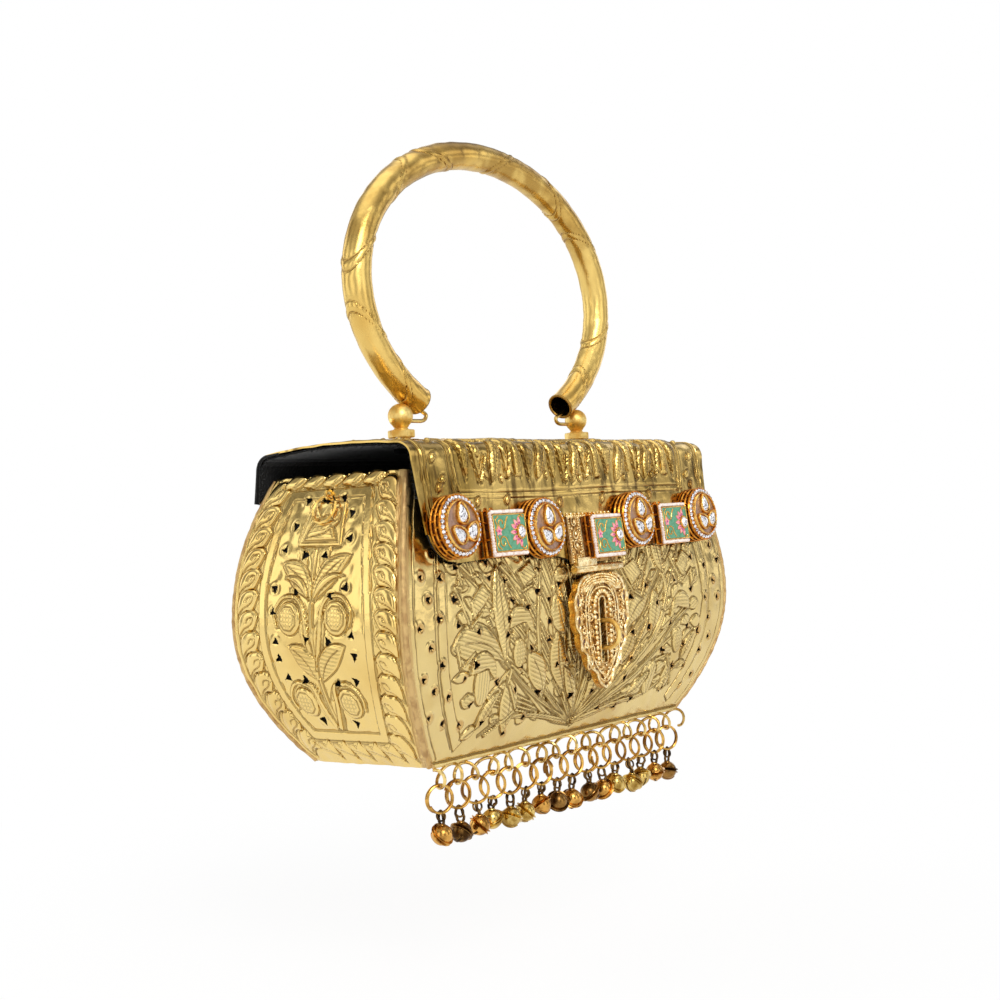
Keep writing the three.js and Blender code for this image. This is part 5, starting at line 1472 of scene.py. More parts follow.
def shield_trim():
    """Everything soldered on the shield, as one piece in front of it."""
    matrix = Matrix(((1, 0, 0, HASP_X), (0, 0, -1, SHIELD_Y), (0, 1, 0, HASP_PIN_Z), (0, 0, 0, 1)))
    bench = Bench("shield_trim", matrix)
    outline = shield_outline()
    bench.loft([grown(outline, 0.1)] * 2, [-2.6, 0.2], "bezel_gold", 40, capped=False)
    rope = grown(outline, -0.6)
    bench.wire(laid(rope, 0.4), 0.66, "filigree", 7)
    inner = grown(outline, -4.6)[3:-3]
    bench.bead([(x, y, 0.45) for x, y in smooth_line(inner, 110)], 0.5, "filigree")
    for k in range(4):
        half_row = [(-15.6 + 1.2 * k, -9.8), (-12.6 + 1.1 * k, -5.6 - 0.9 * k), (-6.5, -3.5 - 1.15 * k)]
        shoulder = smooth_line(half_row + [(0, -2.9 - 1.2 * k)] + [(-x, y) for x, y in half_row[::-1]], 34)
        bench.bead([(x, y, 0.5) for x, y in shoulder], 0.6, "filigree")
    arch = [(-11.5, -44.0 + 4), (-12.6, -30), (-12.6, -16), (-9.5, -9.5), (-4, -6.4), (4, -6.4), (9.5, -9.5),
            (12.6, -16), (12.6, -30), (11.5, -40), (6.5, -47), (0, -51)]
    arch = smooth_line(arch + [(-6.5, -47), arch[0]], 90)
    bench.wire(laid(arch, 0.4), 0.42, "filigree", 6)
    bench.wire(laid(arch * (0.84, 0.93) + (0, -0.9), 0.4), 0.34, "filigree", 6)
    twist = smooth_line([(-10.2, -38), (-11, -20), (-8, -11.4), (0, -8.6), (8, -11.4), (11, -20),
                         (10.2, -38)], 60)
    bench.bead([(x, y, 0.5) for x, y in twist], 0.46, "filigree")
    grains = []
    for i in range(11):
        angle = math.pi * (0.04 + 0.92 * i / 10)
        grains.append((6.3 * math.cos(angle), -17.5 + 7.0 * math.sin(angle), 0.6))
    for side in (-1, 1):
        for z in np.arange(-19.5, -44, -2.3):
            grains.append((side * (6.2 - 0.05 * (-19.5 - z)), z, 0.55))
        for i, z in enumerate(np.arange(-8, -44, -6.4)):
            x = side * (15.2 - 0.006 * (z + 18) ** 2)
            for k in range(5):
                a = k * 2 * math.pi / 5
                grains.append((x + 1.1 * math.cos(a), z + 1.1 * math.sin(a), 0.35))
    bench.bead(grains, 1.12 * np.where(np.array(grains)[:, 2] > 0.5, 1.0, 0.55), "filigree")
    small = np.random.default_rng(8)
    fill = []
    while len(fill) < 190:
        x, y = small.uniform(-19, 19), small.uniform(-51, -4)
        gap, _ = distances(np.array([[x, y]]), outline)
        slot_gap, _ = distances(np.array([[x, y]]), slot_outline())
        if gap[0] < -2.4 and slot_gap[0] > 1.6:
            fill.append((x, y, 0.15))
    bench.bead(fill, small.uniform(0.35, 0.6, len(fill)), "filigree")
    rim = grown(slot_outline(), 0.7)
    bench.wire(laid(rim, 0.45), 0.42, "filigree", 6, closed=True)
    for side in (-1, 1):
        for z, size in ((-22, 2.2), (-29, 2.2), (-36, 1.9)):
            line = spiral((side * 9.2, z), 0.3 if side > 0 else 2.8, side * 1.2, size, 0.5)
            bench.wire(laid(line, 0.45), 0.36, "filigree", 6)
    windows = ((-18.4, -13.8, 0.0), (-18.6, -23.6, -0.12), (-15.9, -33.0, -0.4), (-11.4, -41.6, -0.55))
    for x, y, turn in windows:
        for side in (-1, 1):
            ring = round_outline((side * x, y), 1.5, 3.1, 16, side * turn)
            # Painted shade: dark discs inside the window rings stand for the cut windows
            bench.loft([ring, ring], [0.1, 0.32], "window_dark", 40)
            bench.wire(laid(ring, 0.4), 0.42, "filigree", 6, closed=True)
    barrel = [(0.0, -18.4), (1.8, -18.4), (1.9, -18.2), (1.9, 18.2), (1.8, 18.4), (0.0, 18.4)]
    bench.turned(spun("knuckle", barrel, 20, "X"), "filigree", (0, 0, -0.6))
    return bench


def hasp_leaf():
    """Fixed leaf on the flap: a sheet with scrolls and grains; the smooth knuckle block at its foot is made
    by make_block.
    """
    bench = Bench("leaf_filigree", on_flap(HASP_X, 88.8, 0.3))
    low, high = -10.6, 10.6
    outline = np.array([(-18.4, low), (18.4, low), (18.4, high), (-18.4, high)])
    bench.loft([outline, outline, grown(outline, -0.2)], [0.0, 1.0, 1.15], "filigree_ground", 40)
    for x in (-17.9, -8.6):
        bench.wire([(x, y, 1.3) for y in np.linspace(low + 0.3, high - 0.3, 12)], 0.42, "filigree", 6)
    bench.bead([(x, y, 1.4) for x in (-16.9, -9.6) for y in np.arange(low + 0.8, high - 0.4, 1.15)], 0.5,
               "filigree")
    for i in range(4):
        y = low + 2.6 + i * 5.3
        turn = 1 if i % 2 else -1
        line = spiral((-13.2, y), 0.6, turn * 1.3, 2.6, 0.6)
        bench.wire(laid(line, 1.45), 0.42, "filigree", 6)
        bench.bead([(-13.2, y, 1.6), (-15.6, y + 2.4, 1.4), (-10.9, y + 2.4, 1.4)], (0.9, 0.6, 0.6),
                   "filigree")
    bench.bead([(x, high - 0.2, 1.3) for x in np.arange(-17.6, 18, 1.5)], 0.75, "filigree")
    bench.bead([(x, high + 0.9, 1.0) for x in np.arange(-16.9, 18, 3.0)], 0.7, "filigree")
    return bench


# Handle, posts and fringe


MOUTH_ANGLE = math.acos(MOUTH_X / HANDLE_REACH)


def on_handle(angle):
    """The oval ring's middle line at an angle from its middle."""
    x, z = HANDLE_REACH * np.cos(angle), HANDLE_Z + HANDLE_RISE * np.sin(angle)
    return np.stack([x, np.full_like(x, POST_Y), z], -1)


def handle_tube():
    """Open oval of tube, spiral pairs of lines chased round it, with a dark lining inside its mouths as
    painted shade.
    """
    rings, sides = 420, 36
    line = on_handle(np.linspace(-MOUTH_ANGLE, math.pi + MOUTH_ANGLE, rings))
    along = np.gradient(line, axis=0)
    steps = np.linalg.norm(along, axis=1)
    along /= steps[:, None]
    length = np.cumsum(steps)
    total = length[-1]
    across = np.tile((0.0, 1.0, 0.0), (rings, 1))
    up = np.cross(along, across)
    deselect()
    bpy.ops.mesh.primitive_grid_add(x_subdivisions=rings - 1, y_subdivisions=sides, size=2)
    piece = bpy.context.object
    grid = corners_of(piece.data)
    ring = np.rint((grid[:, 0] + 1) / 2 * (rings - 1)).astype(int)
    turn = (grid[:, 1] + 1) * math.pi
    run = length[ring]
    relief = Relief(np.stack([run, turn * TUBE_RADIUS], 1))
    sway = np.sin(turn)
    for share, lean in ((0.045, 0.9), (0.14, -0.8), (0.27, 0.9), (0.36, -0.9), (0.47, 0.8), (0.60, -0.9),
                        (0.68, 0.9), (0.79, -0.8), (0.88, 0.9), (0.955, -0.9)):
        for pair in (-2.2, 2.2):
            gap = (run - share * total - pair - lean * 11 * sway) * 0.6
            relief.height -= 0.3 * np.exp(-(gap / 0.7) ** 2)
            relief.edge = np.minimum(np.abs(gap), relief.edge)
        middle = (run - share * total - lean * 11 * sway) * 0.6
        relief.height += 0.35 * np.exp(-(middle / 1.0) ** 2)
    wear = np.stack([run, 9 * np.cos(turn)], 1)
    relief.height += 0.22 * waves(wear, (46, 21), 15) + 0.12 * waves(wear, (9, 6), 16)
    mouth = np.minimum(run, total - run)
    relief.height += 0.25 * np.exp(-(mouth / 1.0) ** 2)
    reach = (TUBE_RADIUS + relief.height)[:, None]
    turn = turn[:, None]
    points = line[ring] + across[ring] * (reach * np.cos(turn)) + up[ring] * (reach * np.sin(turn))
    move_corners(piece.data, row(points))
    relief.store(piece.data)
    operated(piece, (bpy.ops.mesh.remove_doubles, {"threshold": 0.00002}), OUTWARDS)
    smoothed(piece, 60)
    piece.data.materials.append(finish("handle_brass"))
    parts = [piece]
    for end in (0, -1):
        inner = line[:40] if end == 0 else line[-40:][::-1]
        # Painted shade: a dark lining inside each mouth of the tube
        bore = operated(tube("bore", inner, 5.3, 28, capped=False), (bpy.ops.mesh.flip_normals, {}))
        bore.data.materials.append(finish("loop_dark"))
        angle = np.linspace(0, 2 * np.pi, 28, endpoint=False)[:, None]
        rim = line[end] + 5.95 * (np.cos(angle) * across[end] + np.sin(angle) * up[end])
        lip = tube("lip", rim, 0.72, 8, closed=True)
        lip.data.materials.append(finish("handle_brass"))
        parts += [bore, lip]
    return joined("chased_handle", parts)


def hook_points(side):
    """The wire's path from inside a mouth of the handle through its post."""
    mouth = on_handle(-MOUTH_ANGLE)
    inward = on_handle(-MOUTH_ANGLE - 0.05) - on_handle(-MOUTH_ANGLE + 0.05)
    inward /= np.linalg.norm(inward)
    under = np.array([-inward[2], 0, inward[0]]) * (1 if inward[0] < 0 else -1)
    seat = TUBE_RADIUS - 1 - 0.9 - 1.3
    ball_side = POST_X - 5.5
    drop = mouth[2] - HOLE_Z
    points = [mouth - inward * 12 + under * (seat - 0.9), mouth - inward * 6 + under * (seat - 0.2),
              mouth + under * seat, mouth + inward * 2.6 + under * seat,
              (ball_side - 11.5, POST_Y, HOLE_Z + drop * 0.34),
              (ball_side - 11.2, POST_Y, HOLE_Z + drop * 0.14), (ball_side - 9, POST_Y, HOLE_Z + 0.15),
              (ball_side - 5, POST_Y, HOLE_Z), (POST_X, POST_Y, HOLE_Z), (POST_X + 6.5, POST_Y, HOLE_Z)]
    line = smooth_line(points, 90)
    return line * (side, 1, 1)


def post(name):
    """Post: foot, six-sided collar, neck and ball."""
    profile = [(0.0, -0.1), (4.0, -0.1), (4.0, 2.5), (5.7, 2.6), (6.1, 3.0), (6.1, 5.7), (5.7, 6.1),
               (3.4, 6.3), (2.9, 7.0), (3.4, 7.6)]
    for angle in np.linspace(-48, 90, 14):
        a = math.radians(angle)
        profile.append((max(5.5 * math.cos(a), 0.0), 12.2 + 5.5 * math.sin(a)))
    turned = spun(name, profile, 36)
    for vertex in turned.data.vertices:
        if 2.55 < vertex.co.z < 6.15:
            angle = math.atan2(vertex.co.y, vertex.co.x) % (math.pi / 3) - math.pi / 6
            flat = 0.98 * math.cos(math.pi / 6) / math.cos(angle)
            vertex.co.x *= flat
            vertex.co.y *= flat
    return smoothed(turned, 25)


def coil_points():
    turns = BELL_COUNT + 0.5
    count = int(turns * 26)
    t = np.linspace(0, turns, count)
    angle = 2 * np.pi * t
    lean = 1.2 * (1 + np.cos(angle)) + 1.1 * np.sin(t * 2.4) * (1 + np.cos(angle))
    return np.stack([COIL_FIRST_X + (t - 0.5) * COIL_PITCH + lean,
                     COIL_Y - (4 + 0.3 * np.sin(t * 2.3)) * np.sin(angle),
                     COIL_Z + 4 * np.cos(angle) + 0.3 * np.sin(t * 1.7) * (1 + np.cos(angle))], 1)


LINK_TOP = COIL_Z - 4 + 0.6 + 0.45 + 0.3
LINK_Z = LINK_TOP - RING_RADIUS


def jingle_bell(bench, look, matrix):
    """Bell of two crimped cups with a double lip round its middle and a slit across its foot, the slit a dark
    wire of painted shade.
    """
    radius = 4.4
    profile = [(radius * math.cos(a), radius * math.sin(a)) for a in np.linspace(math.pi / 2, 0.16, 12)]
    profile += [(5.1, 1.0), (5.26, 0.74), (4.8, 0.42), (4.2, 0.16), (4.7, -0.14), (5.22, -0.5), (5.06, -0.8)]
    profile += [(radius * math.cos(a), radius * math.sin(a)) for a in np.linspace(-0.18, -math.pi / 2, 12)]
    profile[0] = (0.0, radius)
    profile[-1] = (0.0, -radius)
    cups = spun("bell", profile, 28)
    cups.data.transform(matrix)
    bench.turned(cups, look)
    arc = np.linspace(-2.5, -0.64, 16)
    # The middle dark wire is painted shade in the slit; the two beside it are its lips
    for offset, lift, finish_name in ((0.0, 0.02, "loop_dark"), (-0.62, 0.12, look), (0.62, 0.12, look)):
        reach = math.sqrt(radius ** 2 - offset ** 2) + lift
        line = np.column_stack([np.full(16, offset), reach * np.cos(arc), reach * np.sin(arc)])
        bench.wire(turned_by(matrix, line), 0.34 if lift < 0.1 else 0.24, finish_name, 6)


def pendant(number):
    """One double-wound ring with a bell on its own small eye."""
    dice = np.random.default_rng(100 + number)
    matrix = Matrix.Translation((COIL_FIRST_X + number * COIL_PITCH, COIL_Y, LINK_Z)) @ Matrix.Rotation(
        math.radians(-28 + dice.uniform(-9, 9)), 4, "Z")
    bench = Bench(f"dressed_bell_{number + 1:02d}", matrix)
    angle = np.linspace(0, 2.1 * 2 * np.pi, 80) + dice.uniform(0, 6)
    share = np.linspace(-1, 1, 80)
    link = [(RING_RADIUS + 0.15 * share) * np.cos(angle), share * 1.1, RING_RADIUS * np.sin(angle)]
    bench.wire(np.stack(link, 1), 0.56, "link_wire", 7)
    tone = ("bell_amber", "bell_pale", "bell_amber", "bell_dark", "bell_pale", "bell_dark", "bell_amber",
            "bell_pale")
    look = tone[(number * 3) % 8]
    hang = np.array([dice.uniform(-1.3, 1.3), dice.uniform(-1.4, 1.4), dice.uniform(-1.4, 0.6)])
    eye = np.linspace(0, 2 * np.pi, 20, endpoint=False)
    turn = dice.uniform(0, 3)
    wide = 1.5 * np.cos(eye) * (1 - 0.2 * np.sin(eye))
    sway = (np.sin(eye) < 0)[:, None] * hang
    bench.wire(np.stack([wide * math.cos(turn), wide * math.sin(turn), -8.0 + 3.1 * np.sin(eye)], 1) + sway,
               0.62, "loop_dark", 7, closed=True)
    bench.wire(np.stack([1.9 * np.cos(eye), 0.6 * np.sin(eye), -7.2 + 1.9 * np.sin(eye)], 1) + hang * 0.4,
               0.45, "loop_dark", 7, closed=True)
    matrix_bell = (Matrix.Translation(Vector((0, 0, -15.0)) + Vector(hang)) @ Matrix.Rotation(
        dice.uniform(-1.0, 1.0), 4, "Y") @ Matrix.Rotation(dice.uniform(-0.9, 0.9), 4, "X")
        @ Matrix.Rotation(dice.uniform(0, 6.28), 4, "Z"))
    jingle_bell(bench, look, matrix_bell)
    bench.turned(spun("cap", [(0.0, -10.3), (1.2, -10.3), (1.7, -10.8), (1.8, -11.4)], 14), look, hang)
    return bench.set()


def fuzz(name, points, normals, per_point=3, length=1.3, seed=1):
    """Loose pile along a cut edge of velvet: fine tapered hairs."""
    dice = np.random.default_rng(seed)
    corners, faces = [], []
    for point, normal in zip(points, normals):
        for _ in range(per_point):
            way = normal + dice.normal(0, 0.35, 3)
            way /= np.linalg.norm(way)
            side = np.cross(way, dice.normal(0, 1, 3))
            side /= np.linalg.norm(side)
            root = point + dice.normal(0, 0.35, 3)
            tip = root + way * length * dice.uniform(0.4, 1.0)
            third = np.cross(way, side)
            first = len(corners)
            corners += [root + side * 0.16, root - side * 0.1 + third * 0.14,
                        root - side * 0.1 - third * 0.14, tip]
            faces += [(first, first + 1, first + 3), (first + 1, first + 2, first + 3),
                      (first + 2, first, first + 3)]
    return mesh_piece(name, corners, faces)


# Settings and operators


def finish_node(node, look):
    """Give a CAD part that stays as it is its finish."""
    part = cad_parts[node]
    part.data.materials.clear()
    part.data.materials.append(finish(look))


class ClutchBagSettings(bpy.types.PropertyGroup):
    """Colours and sizes of the bag's dress."""

    pale_brass: FloatVectorProperty(name="End brass", description="Bright brass of the end panels",
                                    subtype="COLOR", size=3, min=0, max=1, default=(0.94, 0.82, 0.52))
    fan_brass: FloatVectorProperty(name="Front brass",
                                   description="Paler, greener brass of the front and back",
                                   subtype="COLOR", size=3, min=0, max=1, default=(0.90, 0.80, 0.54))
    # Partly painted reflection: the lid's brass is darkened to stand in for the dark surroundings it mirrors
    olive_brass: FloatVectorProperty(name="Lid brass", description="Darker brass of the lid",
                                     subtype="COLOR", size=3, min=0, max=1, default=(0.88, 0.75, 0.45))
    amber_brass: FloatVectorProperty(name="Amber brass",
                                     description="Orange brass of jewel walls and some bells",
                                     subtype="COLOR", size=3, min=0, max=1, default=(0.88, 0.60, 0.22))
    enamel_green: FloatVectorProperty(name="Enamel", description="Green of the plates' enamel",
                                      subtype="COLOR", size=3, min=0, max=1, default=(0.33, 0.60, 0.46))
    detail: IntProperty(name="Grid detail", description="Columns of the front sheet's grid", default=430,
                        min=80, max=440)
    wire_radius: FloatProperty(name="Coil wire", description="Radius of the fringe coil's wire",
                               default=0.00072, min=0.0003, max=0.002, unit="LENGTH")


class ClutchOperator:
    """What all the bag's operators share."""

    bl_options = {"REGISTER", "UNDO"}


class CLUTCH_OT_stage(ClutchOperator, bpy.types.Operator):
    """Camera, floor, lamps and surroundings"""

    bl_idname = "clutch.stage"
    bl_label = "Stage"

    def execute(self, context):
        scene = context.scene
        eye = Vector((-590.8, -455.5, -161.94)) / 1000
        right = Vector((0.61, -0.791, -0.055)).normalized()
        forward = (Vector((2.9, 1.5, -153.84)) / 1000 - eye).normalized()
        up = right.cross(forward).normalized()
        right = forward.cross(up).normalized()
        data = bpy.data.cameras.new("viewpoint")
        data.lens = 57.4
        data.sensor_width = 36
        data.clip_start = 0.01
        camera = bpy.data.objects.new("viewpoint", data)
        camera.matrix_world = Matrix(((right.x, up.x, -forward.x, eye.x), (right.y, up.y, -forward.y, eye.y),
                                      (right.z, up.z, -forward.z, eye.z), (0, 0, 0, 1)))
        scene.collection.objects.link(camera)
        scene.camera = camera
        scene.view_settings.view_transform = "Standard"
        self.make_floor()
        self.make_world(scene)
        self.make_lamps()
        return {"FINISHED"}

    def make_floor(self):
        low = cad_bounds[0]
        bpy.ops.mesh.primitive_plane_add(size=7, location=(0, 0, low[2] - 0.06))
        floor = bpy.context.object
        floor.name = "floor"
        look = Finish("pale_floor")
        path = look.node("ShaderNodeLightPath", output="Is Camera Ray")
        glossy = look.node("ShaderNodeLightPath", output="Is Glossy Ray")
        plain = look.node("ShaderNodeBsdfDiffuse", inputs={"Color": (0.9, 0.9, 0.9, 1)})
        white = look.node("ShaderNodeEmission", inputs={"Color": (1, 1, 1, 1), "Strength": 1.0})
        reach = look.node("ShaderNodeVectorMath", {"operation": "LENGTH"}, {0: look.places()}, output="Value")
        share = 0.86 + 0.14 * look.step(reach, 0.15, 0.5)
        mixed = look.node("ShaderNodeMixShader", inputs={0: path * share + glossy * 0.35, 1: plain, 2: white})
        look.node("ShaderNodeOutputMaterial", inputs={"Surface": mixed})
        floor.data.materials.append(look.material)

    def make_world(self, scene):
        """White behind the bag and in its metal, with darker upright bars between the lit sides."""
        world = bpy.data.worlds.new("studio")
        scene.world = world
        world.use_nodes = True
        look = Finish("studio", world.node_tree)
        rays = look.node("ShaderNodeLightPath", output="Is Camera Ray")
        glossy = look.node("ShaderNodeLightPath", output="Is Glossy Ray")
        through = look.node("ShaderNodeLightPath", output="Is Transmission Ray")
        way = look.node("ShaderNodeTexCoord", output="Generated")
        x, y, z = [look.node("ShaderNodeSeparateXYZ", inputs={0: way}, output=i) for i in range(3)]
        azimuth = look.maths("ARCTAN2", y, x)
        bars = look.step(look.maths("COSINE", (azimuth - 0.06) * 8.0), -0.6, 0.3)
        flat = look.step(look.maths("ABSOLUTE", z), 0.9, 0.5)
        shade = 1.0 - (1.0 - bars) * flat * 0.8
        band = look.step(z, 0.05, 0.1) * look.step(z, 0.3, 0.22)
        band = band * look.step(look.maths("ABSOLUTE", azimuth + 0.66), 0.55, 0.35)
        shade = shade * (1.0 - band * 0.55)
        low_band = look.step(z, -0.2, -0.3) * look.step(z, -0.7, -0.5)
        shade = shade * (1.0 - low_band * 0.6)
        top = look.step(z, 0.45, 0.58) * look.step(z, 0.95, 0.8)
        shade = shade * (1.0 - top * 0.6)
        shown = look.mix((0.8, 0.8, 0.8, 1), (1, 1, 1, 1), rays + through)
        mirrored = look.mix((0.05, 0.04, 0.03, 1), (1.55, 1.55, 1.52, 1), shade)
        colour = look.mix(shown, mirrored, glossy)
        background = look.node("ShaderNodeBackground", inputs={"Color": colour, "Strength": 1.0})
        look.node("ShaderNodeOutputWorld", inputs={"Surface": background})

    def make_lamps(self):
        for name, place, size, power in (("key", (-0.7, -1.1, 0.75), 0.7, 9.0),
                                         ("fill", (0.5, -1.4, 0.6), 0.8, 4.0),
                                         ("rim", (-0.6, 1.2, 0.6), 0.8, 6.0)):
            data = bpy.data.lights.new(name, "AREA")
            data.size = size
            data.energy = power
            lamp = bpy.data.objects.new(name, data)
            lamp.location = place
            lamp.visible_glossy = name == "key"
            aim = Vector((0, 0, -0.17)) - Vector(place)
            lamp.rotation_euler = aim.to_track_quat("-Z", "Y").to_euler()
            bpy.context.scene.collection.objects.link(lamp)


class CLUTCH_OT_ends(ClutchOperator, bpy.types.Operator):
    """Chased end panels"""

    bl_idname = "clutch.ends"
    bl_label = "End panels"

    def execute(self, context):
        for side, columns in (("left", 168), ("right", 120)):
            piece = chased_sheet(f"chased_end_{side}", columns, int(columns * 1.3), panel_spread(half_depth),
                                 panel_place(side), draw_end, end_holes())
            dress(piece, "box_body", finish("end_sheet"), [f"end_panel_{side}"])
        return {"FINISHED"}


class CLUTCH_OT_fans(ClutchOperator, bpy.types.Operator):
    """Chased front and back panels"""

    bl_idname = "clutch.fans"
    bl_label = "Front and back panels"

    def execute(self, context):
        columns = context.scene.clutch_bag.detail
        front_holes = fan_holes()
        for level in (STAPLE_Z - STAPLE_HALF, STAPLE_Z + STAPLE_HALF):
            front_holes.append(round_outline((HASP_X, level), 1.2, 1.2, 9))
        front = chased_sheet("chased_front", columns, int(columns * 0.49), panel_spread(half_width),
                             panel_place("front"), draw_fan, front_holes)
        dress(front, "box_body", finish("fan_sheet"), ["front_panel"])
        back = chased_sheet("chased_back", int(columns * 0.6), int(columns * 0.3), panel_spread(half_width),
                            panel_place("back"), draw_fan)
        dress(back, "box_body", finish("fan_sheet"), ["back_panel"])
        for name, x, y in (("seam_front_left", -1, -1), ("seam_front_right", 1, -1),
                           ("seam_back_left", -1, 1), ("seam_back_right", 1, 1)):
            dress(seam(name, x, y), "box_body", finish("solder"), ())
        return {"FINISHED"}


class CLUTCH_OT_lid(ClutchOperator, bpy.types.Operator):
    """Chased lid"""

    bl_idname = "clutch.lid"
    bl_label = "Lid"

    def execute(self, context):
        lid = chased_sheet("chased_lid", 345, 248, lid_spread, lid_place, draw_lid, lid_holes())
        dress(lid, "lid_assembly", finish("lid_sheet"), ["lid"])
        return {"FINISHED"}


class CLUTCH_OT_velvet(ClutchOperator, bpy.types.Operator):
    """Velvet linings with their loose pile"""

    bl_idname = "clutch.velvet"
    bl_label = "Velvet"

    def execute(self, context):
        for name, node, body in (("soft_box_lining", "body_lining", "box_body"),
                                 ("soft_lid_lining", "lid_lining", "lid_assembly")):
            piece = operated(copied(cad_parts[node], name),
                             (bpy.ops.mesh.remove_doubles, {"threshold": 0.00001}))
            dress(piece, body, finish("velvet"), [node])
        self.make_flap_pile()
        self.make_back_flap()
        for name, side in (("left", -1), ("right", 1)):
            self.make_side_edge(name, side)
        return {"FINISHED"}

    def line_lid(self, piece):
        dress(piece, "lid_assembly", finish("velvet"), ())

    def make_flap_pile(self):
        """The pile that shows under the flap's wavy foot."""
        x = np.linspace(-1, 1, 260) * 106.0
        foot = flap_foot(x)
        points = np.stack([x, flap_y(foot) + 1.5, foot + 0.8], 1)
        self.line_lid(fuzz("pile_flap", points, np.tile((0, 0.1, -1.0), (len(points), 1)), 4, 1.9, 3))

    def make_back_flap(self):
        """Velvet inside the foot of the back flap."""
        strip, inward = LID_LINE[1:16], LID_SIDE[1:16]
        outer, inner = strip + inward * 0.95, strip + inward * 1.5
        section = np.concatenate([outer, inner[::-1]])
        count = len(section)
        corners = np.concatenate([np.column_stack([np.full(count, x), section]) for x in (-111.6, 111.6)])
        faces = wall(0, count, count) + [tuple(range(count))[::-1], tuple(range(count, 2 * count))]
        self.line_lid(operated(mesh_piece("velvet_back_flap", corners, faces), OUTWARDS))

    def make_side_edge(self, name, side):
        """The roll of velvet and its pile along the lid's end."""
        roll = LID_LINE[:34] + LID_SIDE[:34] * 0.5
        points = np.column_stack([np.full(len(roll), side * 112.2), roll])
        self.line_lid(tube(f"velvet_edge_{name}", points, np.linspace(1.25, 0.35, 34), 8))
        inner = (LID_LINE + LID_SIDE * 1.7)[:118]
        points = np.column_stack([np.full(len(inner), side * 110.6), inner])
        self.line_lid(fuzz(f"pile_{name}", points, np.tile((side * 0.8, 0, 0), (len(points), 1)), 7, 1.7,
                           5 + side))


class CLUTCH_OT_jewels(ClutchOperator, bpy.types.Operator):
    """Medallions and plates on the flap"""

    bl_idname = "clutch.jewels"
    bl_label = "Jewels"

    def execute(self, context):
        for number, (x, level) in enumerate(MEDALLION_PLACES, 1):
            dress(medallion(number, x, level), "lid_assembly", None, [f"medallion_{number}"])
        for number, (x, level, stand) in enumerate(PLATE_PLACES, 1):
            dress(jewel_plate(number, x, level, stand), "lid_assembly", None, [f"jewel_plate_{number}"])
        return {"FINISHED"}


class CLUTCH_OT_hasp(ClutchOperator, bpy.types.Operator):
    """Hasp leaf, shield and staple"""

    bl_idname = "clutch.hasp"
    bl_label = "Hasp"

    def execute(self, context):
        dress(hasp_shield(), "hasp", finish("filigree_ground"), ["hasp_shield"])
        dress(shield_trim().set(), "hasp", None, ())
        dress(hasp_leaf().set(), "lid_assembly", None, ["hasp_leaf"])
        dress(self.make_block(), "lid_assembly", finish("filigree"), ())
        dress(self.make_staple(), "box_body", finish("post_brass"), ["staple"])
        return {"FINISHED"}

    def make_block(self):
        """The smooth knuckle block at the foot of the leaf, with rounded edges."""
        bpy.ops.mesh.primitive_cube_add(size=1, location=(0, 0, 0))
        cube = bpy.context.object
        cube.name = cube.data.name = "knuckle_block"
        cube.data.transform(Matrix.Diagonal((14.4, 3.6, 5.0, 1)))
        cube.data.transform(Matrix.Translation((-6.6, HASP_FACE_Y + 0.5, 78.6)))
        bevel = cube.modifiers.new("edge", "BEVEL")
        bevel.width = 0.5
        bevel.segments = 3
        choose(cube)
        bpy.ops.object.modifier_apply(modifier="edge")
        return smoothed(place_mesh(cube, Matrix.Identity(4)), 40)

    def make_staple(self):
        """A bow of wire in front of the panel, with both ends in it."""
        root_y = -float(half_depth(STAPLE_Z)) + 0.5
        bow_y = SHIELD_Y - 9.6 + 6.9
        line = [(HASP_X, root_y, STAPLE_Z + STAPLE_HALF)]
        for angle in np.linspace(math.pi / 2, -math.pi / 2, 24):
            line.append((HASP_X, bow_y - STAPLE_HALF * math.cos(angle),
                         STAPLE_Z + STAPLE_HALF * math.sin(angle)))
        line.append((HASP_X, root_y, STAPLE_Z - STAPLE_HALF))
        return tube("staple_wire", line, 1.1, 10)


class CLUTCH_OT_handle(ClutchOperator, bpy.types.Operator):
    """Handle tube, its wire hooks and the turned posts"""

    bl_idname = "clutch.handle"
    bl_label = "Handle"

    def execute(self, context):
        dress(handle_tube(), "handle", None, ["handle_tube"])
        for name, side in (("left", -1), ("right", 1)):
            hook = tube(f"hook_wire_{name}", hook_points(side), 0.9, 10)
            dress(hook, "handle", finish("wire"), [f"handle_hook_{name}"])
            turned = place_mesh(post(f"turned_post_{name}"),
                                Matrix.Translation((side * POST_X, POST_Y, CROWN_Z)))
            dress(turned, "lid_assembly", finish("post_brass"), [f"handle_post_{name}"])
        return {"FINISHED"}


class CLUTCH_OT_fringe(ClutchOperator, bpy.types.Operator):
    """Coil, rings and bells"""

    bl_idname = "clutch.fringe"
    bl_label = "Bell fringe"

    def execute(self, context):
        coil = tube("coil_wire", coil_points(), context.scene.clutch_bag.wire_radius * 1000, 8)
        dress(coil, "box_body", finish("wire"), ["fringe_coil"])
        for number in range(BELL_COUNT):
            dress(pendant(number), f"pendant_{number + 1:02d}", None, [f"bell_{number + 1:02d}"])
        return {"FINISHED"}


class CLUTCH_OT_side_rings(ClutchOperator, bpy.types.Operator):
    """Ring and eyelet on each end"""

    bl_idname = "clutch.side_rings"
    bl_label = "Side rings"

    def execute(self, context):
        for node in ("side_ring_left", "eyelet_left", "side_ring_right", "eyelet_right"):
            finish_node(node, "polished")
        return {"FINISHED"}


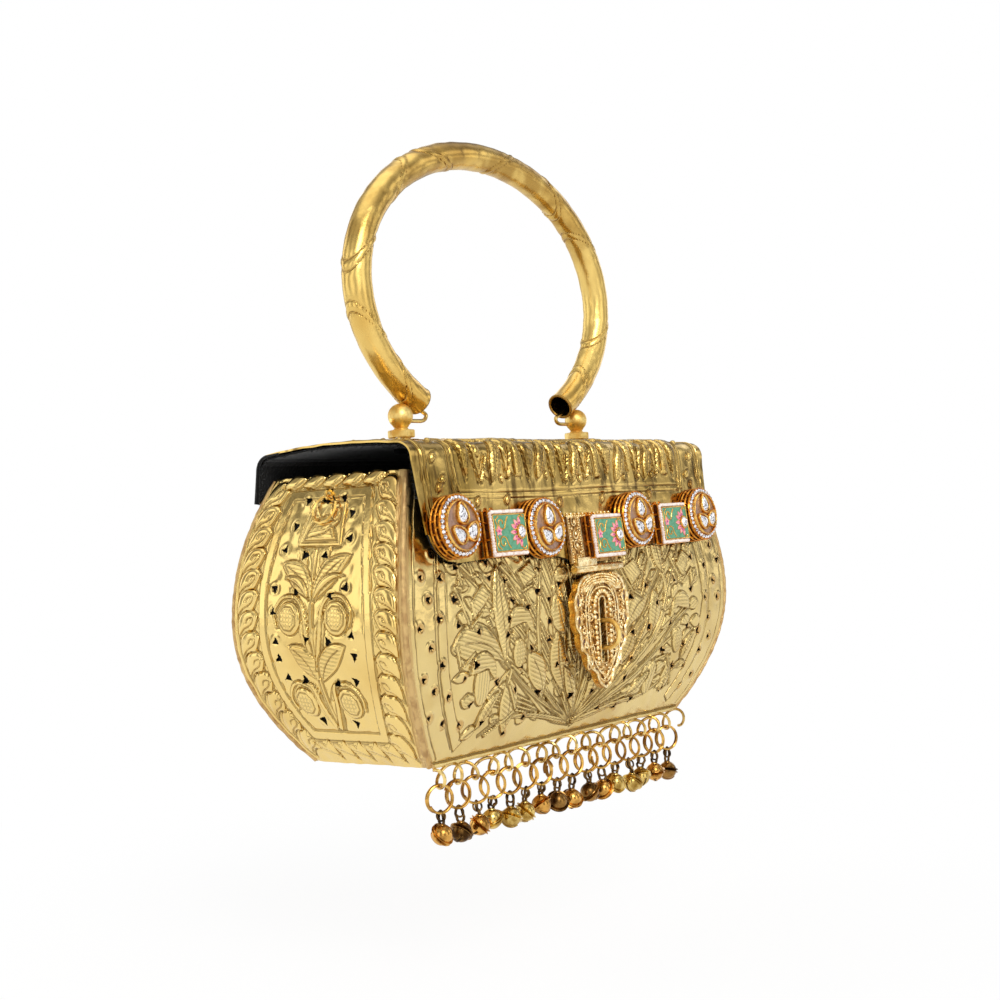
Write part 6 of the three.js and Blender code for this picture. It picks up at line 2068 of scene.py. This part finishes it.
class CLUTCH_OT_plain_parts(ClutchOperator, bpy.types.Operator):
    """Finish for the CAD parts that stay as they are"""

    bl_idname = "clutch.plain_parts"
    bl_label = "Plain parts"

    def execute(self, context):
        looks = {"base_panel": "solder", "hinge_leaf_lid": "wire", "hinge_leaf_body": "wire",
                 "hinge_pin": "polished", "post_nut_left": "velvet", "post_nut_right": "velvet",
                 "hasp_pin": "wire"}
        for node, look in looks.items():
            finish_node(node, look)
        return {"FINISHED"}


OPERATORS = (CLUTCH_OT_stage, CLUTCH_OT_ends, CLUTCH_OT_fans, CLUTCH_OT_lid, CLUTCH_OT_velvet,
             CLUTCH_OT_jewels, CLUTCH_OT_hasp, CLUTCH_OT_handle, CLUTCH_OT_fringe, CLUTCH_OT_side_rings,
             CLUTCH_OT_plain_parts)


class CLUTCH_PT_panel(bpy.types.Panel):
    """Lists the bag's settings and operators"""

    bl_label = "Brass clutch bag"
    bl_idname = "CLUTCH_PT_panel"
    bl_space_type = "VIEW_3D"
    bl_region_type = "UI"
    bl_category = "Clutch"

    def draw(self, context):
        settings = context.scene.clutch_bag
        for key in ("pale_brass", "fan_brass", "olive_brass", "amber_brass", "enamel_green", "detail",
                    "wire_radius"):
            self.layout.prop(settings, key)
        for operator in OPERATORS:
            self.layout.operator(operator.bl_idname)


def register():
    bpy.utils.register_class(ClutchBagSettings)
    bpy.types.Scene.clutch_bag = PointerProperty(type=ClutchBagSettings)
    for operator in OPERATORS:
        bpy.utils.register_class(operator)
    bpy.utils.register_class(CLUTCH_PT_panel)


def unregister():
    bpy.utils.unregister_class(CLUTCH_PT_panel)
    for operator in reversed(OPERATORS):
        bpy.utils.unregister_class(operator)
    del bpy.types.Scene.clutch_bag
    bpy.utils.unregister_class(ClutchBagSettings)


def main():
    register()
    deselect()
    bpy.ops.clutch.stage()
    bpy.ops.clutch.ends()
    bpy.ops.clutch.fans()
    bpy.ops.clutch.lid()
    bpy.ops.clutch.velvet()
    bpy.ops.clutch.jewels()
    bpy.ops.clutch.hasp()
    bpy.ops.clutch.handle()
    bpy.ops.clutch.fringe()
    bpy.ops.clutch.side_rings()
    bpy.ops.clutch.plain_parts()


if __name__ == "__main__":
    main()
